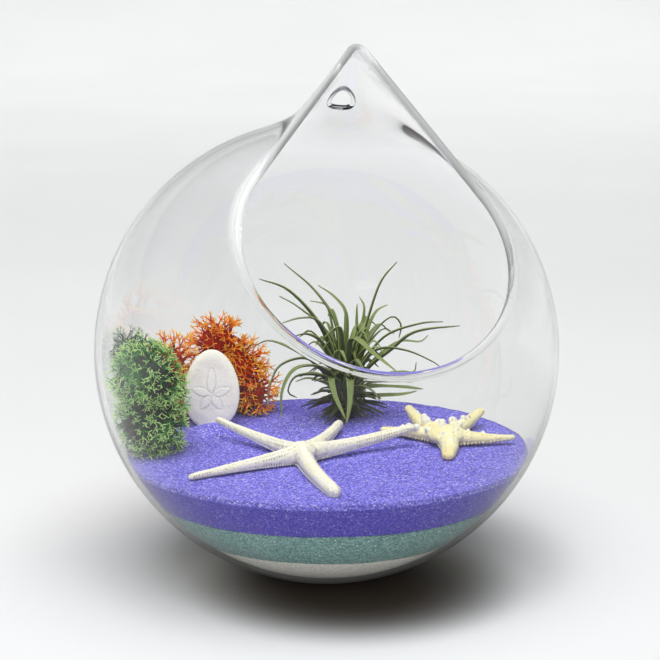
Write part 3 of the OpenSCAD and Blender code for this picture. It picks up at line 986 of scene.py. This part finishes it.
def shellPattern(x, y):
    # petals of the sand dollar: inside each leaf shape, and the double row of slits at its edge
    petal, slit = np.zeros_like(x), np.zeros_like(x)
    px, py = x - shell["petalMid"][0], y - shell["petalMid"][1]
    for n, length in enumerate(shell["petalLongs"]):
        a = math.radians(90 + 72 * n)
        along = px * math.cos(a) + py * math.sin(a)
        across = -px * math.sin(a) + py * math.cos(a)
        t = np.clip((along - 1.0) / (length - 1.0), 0, 1)
        half = shell["petalWide"] * np.sin(math.pi * t ** 0.75) ** 0.7
        edge = np.abs(np.abs(across) - half)
        inside = (along > 1.0) & (along < length)
        petal = np.maximum(petal, np.where(inside, smoothStep((half - np.abs(across)) / 0.8), 0))
        slits = 0.45 + 0.55 * np.cos(along * 2 * math.pi / shell["slitStep"])
        slit = np.maximum(slit, np.where(inside, smoothStep(1 - edge / 0.5) * slits, 0))
    return petal, slit


def makeShell(material):
    spokes = shell["spokes"]
    a = np.linspace(0, 2 * math.pi, spokes, endpoint=False)
    rimX = shell["wide"] / 2 * np.cos(a) * (1 - shell["narrowTop"] * np.sin(a))
    rimY = shell["tall"] / 2 * np.sin(a)
    rimT = 0.35 * shell["thick"]
    noise = Lattice(shell["seed"])
    rows, petals, slits, brims = [], [], [], []

    def addRow(share, z, petal, slit, brim):
        rows.append(np.stack([rimX * share, rimY * share, z], -1))
        petals.append(petal)
        slits.append(slit)
        brims.append(np.full(spokes, brim))

    for share in np.linspace(0.012, 1, shell["rings"]):
        x, y = rimX * share, rimY * share
        petal, slit = shellPattern(x, y)
        z = rimT + (shell["thick"] - rimT) * math.sqrt(max(0, 1 - share ** 2 * 0.98)) - 0.5
        z = z + shell["petalRise"] * petal - shell["slitDepth"] * slit
        z = z - shell["dip"] * smoothStep((0.8 - share) / 0.3)
        z = z + shell["rough"] * noise.at(np.stack([x, y, 0 * x], -1), 0.5)
        addRow(share, z, petal, slit, smoothStep((share - 0.72) / 0.25))
    for share, z in shell["under"]:
        addRow(share, np.full(spokes, z), np.zeros(spokes), np.zeros(spokes), 0.5)
    points = np.concatenate(rows + [rows[0].mean(0, keepdims=True), [[0, 0, 0]]])
    # the rows run from the face to the back, so their faces turn the other way
    faces = [f[:1] + f[:0:-1] for f in domeFaces(len(rows), spokes)]
    stood = turned(turned(points, "x", 90 - shell["lean"]), "z", shell["turn"])
    rise = shell["tall"] / 2 * math.cos(math.radians(shell["lean"])) - shell["sink"]
    stood = stood + [*shell["at"], sand["bed"] + rise]
    mesh = makeMesh("sand_dollar_shell", stood * mm, faceOutwards(stood, faces), material)
    piece = placeMesh(mesh, "shell", "sand_dollar")
    paint(piece.data, **{label: np.concatenate([*values, [0, 0]])
                         for label, values in (("petal", petals), ("slit", slits), ("brim", brims))})


def shellFinish():
    f = Finish("sand dollar")
    place = f.place()
    grain = f.cells(place, 1900.0)
    cloud = f.noise(place, 90.0, 4.0, 0.6)
    colour = f.ramp(cloud, [(0.3, (0.86, 0.81, 0.76)), (0.7, (0.95, 0.92, 0.86))])
    colour = f.tint(f.painted("brim"), colour, (0.99, 0.96, 0.84))
    colour = f.tint(f.painted("petal") * 0.4, colour, (0.95, 0.93, 0.90))
    colour = f.tint(f.painted("slit") * 0.6, colour, (0.45, 0.40, 0.42))
    colour = f.tint(f.mask(grain, 0.3, 0.7) * 0.14, colour, (0.45, 0.38, 0.33))
    height = (1 - grain) * 0.5 + f.noise(place, 500.0) * 0.3
    return f.surface(colour, 0.8, 0.25, f.bump(height, 0.6, 0.0004))


makeShell(shellFinish())
print("sand dollar")


mosses = {
    # lumps: place, height over the sand, radius
    "green": {
        "lumps": [(-69.5, 7, 12, 13), (-70, 9, 30, 13), (-64, 11, 21, 8.5), (-65, 8, 6, 7)],
        "gap": 2.15, "length": 3.1, "width": 0.46, "spread": 0.75, "seed": 31, "reach": 0.75,
        "colours": [(0.001, 0.02, 0.002), (0.05, 0.30, 0.03), (0.74, 1.0, 0.36)],
        "patches": (0.07, 0.40, 0.05),
    },
    "grey": {
        "lumps": [(-74, 33, 33, 8), (-75, 34, 20, 8), (-70, 35, 8, 8)],
        "gap": 2.1, "length": 2.8, "width": 0.44, "spread": 0.75, "seed": 47, "reach": 0.82,
        "colours": [(0.02, 0.05, 0.03), (0.14, 0.25, 0.16), (0.55, 0.66, 0.48)],
        "patches": (0.22, 0.34, 0.24),
    },
    "orange": {
        "lumps": [(-25, 67, 16, 12), (-32, 66, 29, 9.5), (-18, 62, 7, 8), (-54, 56, 24, 8),
                  (-52, 56, 11, 8), (-40, 63, 10, 9)],
        "gap": 2.4, "length": 3.6, "width": 0.64, "spread": 0.7, "seed": 61, "reach": 0.72,
        "colours": [(0.42, 0.01, 0.001), (1.0, 0.19, 0.002), (1.0, 0.62, 0.06)],
        "patches": (1.0, 0.34, 0.01),
    },
}
twig = {"kinds": 4, "forks": 3, "levels": 2, "taper": 0.62, "spotsPerSquareMetre": 4.0e6}


def keepInside(points, room, sink):
    # keeps points this far off the glass and at most this far under the sand's surface
    away = points - [0, 0, centreZ]
    r = np.linalg.norm(away, axis=1)
    far = r > sandR - room
    points[far] = [0, 0, centreZ] + away[far] / r[far, None] * (sandR - room)
    points[:, 2] = np.maximum(points[:, 2], sand["bed"] - sink)


def twigShape(seed, moss):
    # one branching twig: tapered three-sided stems that fork towards their tips
    rng = np.random.default_rng(seed)
    shells, tips = [], []
    levelShare = 1 / (twig["levels"] + 1)

    def stem(start, heading, long, wide, level, share):
        bend = unit(heading + rng.normal(0, 0.16, 3))
        end = start + bend * long
        side = unit(np.cross(bend, [0.31, 0.52, 0.81]))
        up = np.cross(bend, side)
        ring = [side * math.cos(a) + up * math.sin(a) for a in (0, 2.094, 4.189)]
        points = [start + r * wide for r in ring] + [end + r * wide * twig["taper"] for r in ring]
        faces = [(0, 1, 4, 3), (1, 2, 5, 4), (2, 0, 3, 5)]
        if level == 0:
            points.append(end + bend * wide * 1.2)
            faces += [(3, 4, 6), (4, 5, 6), (5, 3, 6)]
        shells.append((np.array(points), faces))
        tips.extend([share] * 3 + [share + levelShare] * (len(points) - 3))
        if level:
            turn = rng.uniform(0, 6.28)
            for n in range(twig["forks"]):
                a = turn + n * 2 * math.pi / twig["forks"] + rng.normal(0, 0.3)
                lean = moss["spread"] * rng.uniform(0.6, 1.25)
                out = (side * math.cos(a) + up * math.sin(a)) * math.sin(lean)
                out = unit(bend * math.cos(lean) + out)
                stem(end, out, long * rng.uniform(0.6, 0.85), wide * twig["taper"], level - 1,
                     share + levelShare)

    stem(np.zeros(3), np.array([0, 0, 1.0]), moss["length"], moss["width"], twig["levels"], 0.0)
    points, faces = joinShells(shells)
    return points, faces, np.array(tips)


def mossTree():
    # twigs planted over the lumps, each a little leant over
    t = Growth("moss clump", {"Gap": 0.001, "Smallest": 0.7, "Largest": 1.2, "Tilt": 0.6, "Seed": 1},
               [("Twigs", "NodeSocketCollection")])
    body = t.given("Geometry")
    spots = t.add("GeometryNodeDistributePointsOnFaces", {"distribute_method": "POISSON"}, {
        "Mesh": body, "Distance Min": t.given("Gap"), "Seed": t.given("Seed"),
        "Density Max": twig["spotsPerSquareMetre"]}, "Points")
    twigs = t.add("GeometryNodeCollectionInfo", None, {
        "Collection": t.given("Twigs"), "Separate Children": True, "Reset Children": True})
    tilt = t.given("Tilt")
    least = t.add("ShaderNodeCombineXYZ", None, {"X": tilt * -1.0, "Y": tilt * -1.0, "Z": -3.14159})
    most = t.add("ShaderNodeCombineXYZ", None, {"X": tilt, "Y": tilt, "Z": 3.14159})
    turn = t.add("FunctionNodeRandomValue", {"data_type": "FLOAT_VECTOR"},
                 {0: least, 1: most, "Seed": t.given("Seed") + 7})
    turn = t.add("FunctionNodeEulerToRotation", None, {"Euler": turn})
    facing = t.add("FunctionNodeRotateRotation", {"rotation_space": "LOCAL"},
                   {"Rotation": spots.other("Rotation"), "Rotate By": turn})
    planted = t.add("GeometryNodeInstanceOnPoints", None, {
        "Points": spots, "Instance": twigs, "Pick Instance": True, "Rotation": facing,
        "Scale": t.chance(t.given("Smallest"), t.given("Largest"))})
    joined = t.add("GeometryNodeJoinGeometry", None, {0: planted})
    t.tree.links.new(body.socket, joined.socket.node.inputs[0])
    t.close(joined)
    return t


def mossFinish(name, moss):
    f = Finish(name + " moss")
    place = f.place()
    patch = f.noise(place, 55.0, 3.0, 0.6)
    fine = f.noise(place, 700.0, 2.0, 0.6)
    # painted shade and light: each twig runs from near black at its foot, deep in the clump, to bright
    # at its tips
    tone = f.painted("twigReach") * 0.8 + fine * 0.25
    colour = f.ramp(tone, list(zip((0.34, 0.6, 0.86), moss["colours"])))
    colour = f.tint(f.mask(patch, 0.5, 0.66) * 0.45, colour, moss["patches"])
    return f.surface(colour, 0.85, 0.2, f.bump(fine, 0.5, 0.0004))


def makeMoss(name, moss, tree):
    piece = name + "_moss_clump"
    twigs = bpy.data.collections.new(piece + "_twigs")
    bpy.context.scene.collection.children.link(twigs)
    for n in range(twig["kinds"]):
        points, faces, tips = twigShape(moss["seed"] + n, moss)
        mesh = bpy.data.meshes.new(piece + "_twig")
        mesh.from_pydata([tuple(p) for p in points * mm], [], faces)
        paint(mesh, twigReach=tips)
        twigs.objects.link(bpy.data.objects.new(f"{piece}_twig{n}", mesh))
    noise = Lattice(moss["seed"])
    shells = []
    for x, y, z, r in moss["lumps"]:
        p, f = roundShell((0, 0, 0), 1.0, rows=14, sides=20)
        wave = 1 + 0.16 * noise.at(p * 3 + x, 0.9)
        shells.append((p * (r * moss["reach"] * wave)[:, None] + [x, y, sand["bed"] + z], f))
    points, faces = joinShells(shells)
    mesh = tree.grow(piece, points * mm, [], faces, mossFinish(name, moss),
                     Gap=moss["gap"] * mm, Seed=moss["seed"], Twigs=twigs)
    for made in list(twigs.objects):
        bpy.data.objects.remove(made)
    bpy.data.collections.remove(twigs)
    points = readRows(mesh.vertices, "co") / mm
    keepInside(points, 0.5, 0.6)
    mesh.vertices.foreach_set("co", (points * mm).astype(np.float32).ravel())
    mesh.update()
    placeMesh(setSmooth(mesh, False), name + "_moss", name + "_moss")
    print(piece, len(mesh.polygons), "faces")


mossGrower = mossTree()
for name, moss in mosses.items():
    makeMoss(name, moss, mossGrower)


plant = {
    "at": (18.0, 43.0), "rise": 5.0, "rootW": 4.4, "rootR": 2.2, "thick": 0.8, "cup": 0.5,
    "rings": 26, "across": 5,
    # share of the full width, then the points that the leaf runs through, counted from the crown
    "leaves": [
        (1.0, (-4.3, 2.0, 36.0), (-12.1, 6.0, 48.6), (-23.4, 10.7, 58.7)),
        (0.85, (-12.5, -1.1, 36.4), (-24.2, -1.4, 49.6), (-35.9, -0.7, 54.6)),
        (0.75, (-8.3, -4.2, 32.0), (-20.8, -5.3, 43.2), (-28.8, -5.5, 48.2)),
        (0.5, (-5.7, 6.5, 39.5), (-8.9, 9.3, 41.7), (-12.8, 11.3, 42.3)),
        (0.95, (1.6, 5.8, 36.8), (-2.4, 9.8, 43.1), (-8.5, 13.3, 47.7)),
        (0.85, (-12.7, -7.3, 37.1), (-20.3, -8.5, 39.3), (-29.4, -8.4, 36.9)),
        (0.8, (-5.0, -13.2, 34.6), (-8.5, -15.5, 36.0), (-12.7, -16.5, 33.0)),
        (0.9, (-11.1, -5.6, 27.4), (-17.4, -7.2, 31.4), (-23.0, -6.8, 31.0)),
        (0.8, (-17.9, 8.4, 21.2), (-29.2, 14.1, 25.3), (-36.6, 18.0, 21.7)),
        (0.95, (-17.8, -5.0, 21.7), (-29.4, -6.4, 19.3), (-34.0, -7.3, 10.5), (-34.5, -8.2, 3.4)),
        (0.95, (-14.5, -13.0, 20.0), (-24.7, -15.7, 19.9), (-30.1, -17.5, 11.5), (-30.8, -19.4, 0.4)),
        (0.8, (-12.3, -3.2, 13.4), (-22.0, -5.0, 14.3), (-25.2, -6.3, 8.9), (-21.6, -7.2, 6.4)),
        (0.95, (9.8, 2.8, 33.3), (16.1, 3.4, 50.3), (22.8, 2.8, 58.8)),
        (0.8, (11.1, 6.6, 28.7), (15.7, 8.6, 36.2), (21.0, 9.4, 38.9)),
        (0.8, (7.8, 10.5, 26.8), (8.4, 12.4, 33.7), (8.5, 13.4, 39.5)),
        (0.6, (10.8, 13.9, 28.0), (12.4, 15.6, 37.1), (10.4, 18.1, 41.8)),
        (0.7, (12.2, -0.8, 30.2), (20.2, -0.7, 36.5), (24.3, -0.6, 32.6), (23.3, -0.4, 27.0)),
        (0.85, (16.9, -0.9, 28.1), (32.0, -1.5, 33.1), (42.1, -1.8, 33.9)),
        (1.0, (17.2, -9.2, 24.2), (25.7, -15.4, 32.6), (42.7, -22.5, 36.0)),
        (0.6, (23.5, 2.6, 24.6), (32.9, 3.5, 24.4), (36.2, 3.7, 27.0)),
        (0.8, (10.7, -12.8, 25.7), (20.4, -19.3, 26.2), (30.3, -24.7, 22.1), (34.5, -26.7, 19.0)),
        (0.5, (24.1, 4.5, 11.2), (31.3, 4.9, 10.7), (32.7, 5.6, 14.6)),
        (1.1, (0.0, -13.4, 31.0), (6.5, -24.2, 26.0), (13.0, -33.9, 20.9)),
        (0.9, (13.7, -5.3, 12.4), (20.4, -9.0, 14.8), (25.5, -12.2, 12.9)),
        (0.8, (13.4, -0.1, 6.7), (23.7, -0.5, 6.2), (33.5, -1.8, 5.0)),
        (0.8, (10.5, -4.6, 3.4), (19.0, -9.7, 5.5), (27.5, -13.7, 7.9)),
        (1.1, (-1.8, -15.0, 13.5), (-3.0, -20.9, 6.2), (-5.1, -25.5, -1.1)),
        (0.9, (-8.5, -11.3, 13.8), (-7.9, -16.6, 7.1), (-5.0, -21.4, -0.7)),
        (0.7, (4.7, -10.4, 9.9), (8.3, -14.3, 8.5), (11.1, -16.0, 4.1)),
        (0.9, (-6.5, -10.8, 22.8), (-5.6, -15.1, 26.5), (-4.1, -17.5, 22.3)),
        (0.9, (0.1, -13.4, 19.3), (1.2, -17.8, 22.3), (3.1, -20.3, 18.8)),
    ],
    # leaves set by the seed: count, turn from and to, reach, height, tone (a tone below 0.3 darkens
    # the leaf with painted shade)
    "sets": [
        (22, 20, 160, 12, 30, 6, 38, 0.8),
        (46, 0, 360, 7, 16, 2, 18, 0.1),
        (44, 0, 360, 9, 19, -5, 5, 0.0),
        (22, 0, 360, 8, 19, 14, 32, 0.45),
    ],
    # balls that close the foot of the rosette: height and radius
    "crown": [(0.0, 4.6), (4.5, 3.6), (-3.5, 4.6)],
    "seed": 8,
}


def smoothPath(knots, count):
    # a smooth line through the knots, evenly sampled
    knots = np.asarray(knots, float)
    ends = np.vstack([2 * knots[0] - knots[1], knots, 2 * knots[-1] - knots[-2]])
    fine = []
    for a, b, c, d in zip(ends, ends[1:], ends[2:], ends[3:]):
        t = np.linspace(0, 1, 24, endpoint=False)[:, None]
        curve = 2 * a - 5 * b + 4 * c - d + t * (3 * (b - c) + d - a)
        fine.append(b + 0.5 * t * (c - a + t * curve))
    fine = np.vstack(fine + [knots[-1:]])
    length = np.concatenate([[0], np.cumsum(np.linalg.norm(np.diff(fine, axis=0), axis=1))])
    at = np.linspace(0, length[-1], count)
    return np.stack([np.interp(at, length, fine[:, n]) for n in range(3)], -1)


def leafBlade(path, width, twist):
    # one channelled blade along its path; also each point's way along, upper side and edge
    t = np.linspace(0, 1, len(path))
    w = width / 2 * (1 - t) ** 0.6 * (0.8 + 0.2 * np.minimum(1, t * 6)) + 0.12
    thick = plant["thick"] / 2 * (1 - 0.7 * t) + 0.05
    course = unit(np.gradient(path, axis=0))
    out = path[-1] - path[0]
    flat = np.array([out[1], -out[0], 0.0]) + 1e-6
    side = unit(flat - course * np.sum(flat * course, -1, keepdims=True))
    up = np.cross(side, course)
    up *= np.sign(up[len(up) // 3, 2] + 1e-6)
    angle = twist * t[:, None]
    side, up = side * np.cos(angle) + up * np.sin(angle), up * np.cos(angle) - side * np.sin(angle)
    u = np.linspace(-1, 1, plant["across"])
    loop = [(a, 1.0) for a in u] + [(a, -1.0) for a in u[::-1][1:-1]]
    rows = []
    for a, face in loop:
        cup = plant["cup"] * w * (a * a - 0.3)
        body = thick * (1 - a * a) * face + 0.04 * face * (abs(a) < 1)
        rows.append(path + side * (w * a)[:, None] + up * (cup + body)[:, None])
    points = np.stack(rows, 1).reshape(-1, 3)
    upper = np.tile([1.0 if face > 0 else 0.0 for a, face in loop], len(t))
    edge = np.tile([abs(a) for a, face in loop], len(t))
    faces = faceOutwards(points, tubeFaces(len(t), len(loop)))
    return points, faces, np.repeat(t, len(loop)), upper, edge


def makePlant(material):
    rng = np.random.default_rng(plant["seed"])
    crown = np.array([*plant["at"], sand["bed"] + plant["rise"]])
    rootR = plant["rootR"]
    blades = []
    for share, *knots in plant["leaves"]:
        x, y, z = knots[0]
        turn = math.atan2(y, x)
        root = (rootR * math.cos(turn), rootR * math.sin(turn), 2.0 if z > 20 else -1.0)
        low = (x * 0.45 + root[0] * 0.3, y * 0.45 + root[1] * 0.3, z * 0.55 + 2)
        blades.append((crown + [root, low, *knots], plant["rootW"] * share, rng.uniform(0.25, 0.9)))
    lift = np.array([0, 0, 1.0])
    for count, first, last, near, far, low, high, tone in plant["sets"]:
        for n in range(count):
            turn = math.radians(first + (last - first) * ((n * 0.618 + rng.uniform(0, 0.05)) % 1))
            reach, rise = rng.uniform(near, far), rng.uniform(low, high)
            heading = np.array([math.cos(turn), math.sin(turn), 0])
            knots = [heading * rootR - lift, heading * reach * 0.3 + lift * (rise * 0.62 + 2),
                     heading * reach * 0.72 + lift * (rise * 1.05 + 1.5),
                     heading * reach + lift * rise]
            blades.append((crown + knots, plant["rootW"] * rng.uniform(0.6, 0.9), tone))
    shells, marks = [], []
    for knots, width, tone in blades:
        path = smoothPath(knots, plant["rings"])
        share = np.linspace(0, 1, len(path))[:, None]
        wave = np.sin(np.linspace(0, math.pi * rng.uniform(1.2, 2.2), len(path)))[:, None]
        path = path + wave * rng.normal(0, 0.4, 3) * share
        p, faces, along, upper, edge = leafBlade(path, width, rng.normal(0, 0.45))
        shells.append((p, faces))
        marks.append([along, np.full(len(p), tone), upper, edge])
    for z, r in plant["crown"]:
        p, faces = roundShell(crown + [0, 0, z], r, rows=12, sides=20)
        shells.append((p, faces))
        marks.append([np.full(len(p), value) for value in (0.02, 0.0, 0.0, 0.0)])
    points, faces = joinShells(shells)
    keepInside(points, 1.0, 0.4)
    mesh = makeMesh("air_plant_leaves", points * mm, faces, material)
    piece = placeMesh(mesh, "leaf", "air_plant")
    along, tone, upper, edge = np.concatenate(marks, axis=1)
    paint(piece.data, leafAlong=along, leafTone=tone, leafUpper=upper, leafEdge=edge)
    print("air plant:", len(blades), "leaves,", len(faces), "faces")


def leafFinish():
    f = Finish("air plant leaf")
    place = f.place()
    tone, upper = f.painted("leafTone"), f.painted("leafUpper")
    scales = f.noise(place, 1400.0, 3.0, 0.7)
    patch = f.noise(place, 120.0, 3.0, 0.6)
    # darker towards the foot of each leaf, partly painted shade under the rosette, and dry brown at
    # the tips
    colour = f.ramp(f.painted("leafAlong"), [
        (0.0, (0.030, 0.032, 0.010)), (0.22, (0.055, 0.070, 0.022)), (0.55, (0.085, 0.13, 0.045)),
        (0.88, (0.13, 0.18, 0.07)), (1.0, (0.20, 0.15, 0.07))])
    for share, over in (
            (tone * 0.4, (0.22, 0.30, 0.13)),
            # painted light and shade: upper sides lighter, undersides near black
            (upper * 0.45, (0.34, 0.43, 0.13)),
            ((1 - upper) * 0.45, (0.018, 0.026, 0.010)),
            (f.mask(scales, 0.5, 0.8) * 0.22, (0.34, 0.40, 0.18)),
            (f.mask(patch, 0.55, 0.75) * 0.35, (0.05, 0.07, 0.02)),
            # painted highlight along the thin leaf edges
            (f.mask(f.painted("leafEdge"), 0.72, 1.0) * 0.75, (0.58, 0.62, 0.26)),
            # the short leaves round the foot lie in each other's shade
            (f.mask(tone, 0.0, 0.3, 0.78, 0.0), (0.012, 0.012, 0.006))):
        colour = f.tint(share, colour, over)
    return f.surface(colour, 0.55, 0.35, f.bump(scales, 0.5, 0.0003))


makePlant(leafFinish())


stage = {
    "floorHalf": 9.0, "bendAt": 2.4, "bendR": 1.2, "tall": 1.9, "backTurn": -13.4,
    # the painted shadow under the vase, and the paler painted shade round it
    "shadeAt": (0.0048, -0.0280, 0.0), "shadeNear": 0.0036, "shadeFar": 0.069, "shadeCurve": 3.2,
    "shadeBounce": 0.15, "shadeColour": (0.045, 0.036, 0.028),
    "paleAt": (0.0, 0.020, 0.0), "paleNear": 0.03, "paleFar": 0.155, "paleDepth": 0.42,
    "mirrorFloor": 0.35, "mirrorFrom": -0.1, "mirrorTo": 0.25,
    # air that lights the vase: level all round, and overhead
    "airColour": (0.98, 0.99, 1.0), "level": 0.11, "overhead": 3.2,
    "lightFrom": (-0.03, -0.135, 0.99),
    # air that the glass mirrors: level, overhead, and the bright sides
    "shineLevel": 0.16, "shineOver": 1.0, "shineSide": 0.2, "left": (-0.9728, 0.2318, 0.0),
    "bounces": 28,
}
lamps = {
    "top softbox": {"at": (-0.45, -0.15, 1.3), "aim": (0, 0, 0.05), "size": (0.5, 0.5), "power": 3.0,
                    "shines": True},
    "front fill": {"at": (-0.5, -1.3, 0.9), "aim": (0, 0, 0.08), "size": (0.9, 0.9), "power": 8.0,
                   "shines": False},
    "back wash": {"at": (0.45, 1.5, 1.5), "aim": (1.0, 3.6, 0.4), "size": (2.4, 0.6), "power": 7.5,
                  "shines": False},
}


def floorFinish():
    f = Finish("pale floor")
    place = f.place()
    tone = f.noise(place, 3.0, 2.0, 0.5)
    colour = f.ramp(tone, [(0.3, (0.80, 0.80, 0.795)), (0.7, (0.83, 0.83, 0.825))])
    # the soft dark ring that clear glass throws is painted, and paler for light that bounces off it
    ring = f.mask(f.vectorMath("DISTANCE", place, stage["shadeAt"]),
                  stage["shadeNear"], stage["shadeFar"])
    wide = f.mask(f.vectorMath("DISTANCE", place, stage["paleAt"]),
                  stage["paleNear"], stage["paleFar"], 1 - stage["paleDepth"], 1.0)
    rays = f.add("ShaderNodeLightPath", output="Is Camera Ray")
    seen = stage["shadeBounce"] + (1 - stage["shadeBounce"]) * rays
    shade = (1 - ring ** stage["shadeCurve"] * wide) * seen
    colour = f.tint(shade, colour, stage["shadeColour"])
    # the floor in front is painted darker in the glass's reflections, so what lies behind the glass
    # stays clear
    depth = rays.other("Glossy Depth")
    inFront = f.mask(f.part(place, "Y"), stage["mirrorFrom"], stage["mirrorTo"], 1.0, 0.0)
    mirrored = depth.math("MINIMUM", depth, 1.0) * inFront
    colour = f.tint(mirrored * (1 - stage["mirrorFloor"]), colour, (0.0, 0.0, 0.0))
    return f.surface(colour, 0.6, 0.2, f.bump(f.noise(place, 60.0, 3.0, 0.6), 0.1, 0.0005))


def makeStage():
    # a floor that sweeps up behind into a backdrop
    half, bendAt, bendR = stage["floorHalf"], stage["bendAt"], stage["bendR"]
    profile = [(-half, 0.0), (bendAt, 0.0)]
    profile += [(bendAt + bendR * math.sin(a), bendR - bendR * math.cos(a))
                for a in np.radians(np.linspace(4, 90, 20))]
    profile.append((bendAt + bendR, stage["tall"]))
    points = [(side, depth, z) for depth, z in profile for side in (-half, half)]
    faces = [(2 * n, 2 * n + 1, 2 * n + 3, 2 * n + 2) for n in range(len(profile) - 1)]
    mesh = makeMesh("backdrop", turned(points, "z", stage["backTurn"]), faces, floorFinish())
    addToScene("backdrop", mesh)


def addLight(name, lamp):
    data = bpy.data.lights.new(name, "AREA")
    data.shape = "RECTANGLE"
    data.size, data.size_y = lamp["size"]
    data.energy = lamp["power"]
    thing = addToScene(name, data)
    aim(thing, lamp["at"], Vector(lamp["aim"]) - Vector(lamp["at"]))
    thing.visible_glossy = thing.visible_transmission = lamp["shines"]


def lightWorld():
    # one sky lights things, mostly from overhead; the glass shows another, pale at the sides
    world = bpy.data.worlds.new("studio air")
    world.use_nodes = True
    air = Workshop(world.node_tree)
    heading = air.add("ShaderNodeTexCoord", output="Generated")

    def towards(axis, low, high, first, last):
        return air.mask(air.vectorMath("DOT_PRODUCT", heading, axis), low, high, first, last)

    lit = towards(stage["lightFrom"], 0.78, 0.96, 0.0, stage["overhead"]) + stage["level"]
    shown = (towards(stage["left"], 0.75, 0.97, 0.0, stage["shineSide"])
             + towards(stage["left"], -0.97, -0.75, stage["shineSide"], 0.0) + stage["shineLevel"]
             + towards((0.0, 0.0, 1.0), 0.75, 0.95, 0.0, stage["shineOver"]))
    rays = air.add("ShaderNodeLightPath", output="Is Glossy Ray")
    mirrored = rays.math("MAXIMUM", rays, rays.other("Is Transmission Ray"))
    back = world.node_tree.nodes["Background"]
    back.inputs["Color"].default_value = (*stage["airColour"], 1.0)
    strength = mirrored * shown + (1 - mirrored) * lit
    world.node_tree.links.new(strength.socket, back.inputs["Strength"])
    bpy.context.scene.world = world


makeStage()
lightWorld()
for name, lamp in lamps.items():
    addLight(name, lamp)
bpy.context.scene.view_settings.view_transform = "Standard"
bpy.context.scene.cycles.max_bounces = stage["bounces"]
bpy.context.scene.cycles.transmission_bounces = stage["bounces"]
print("stage and lights set")

bpy.context.view_layer.update()
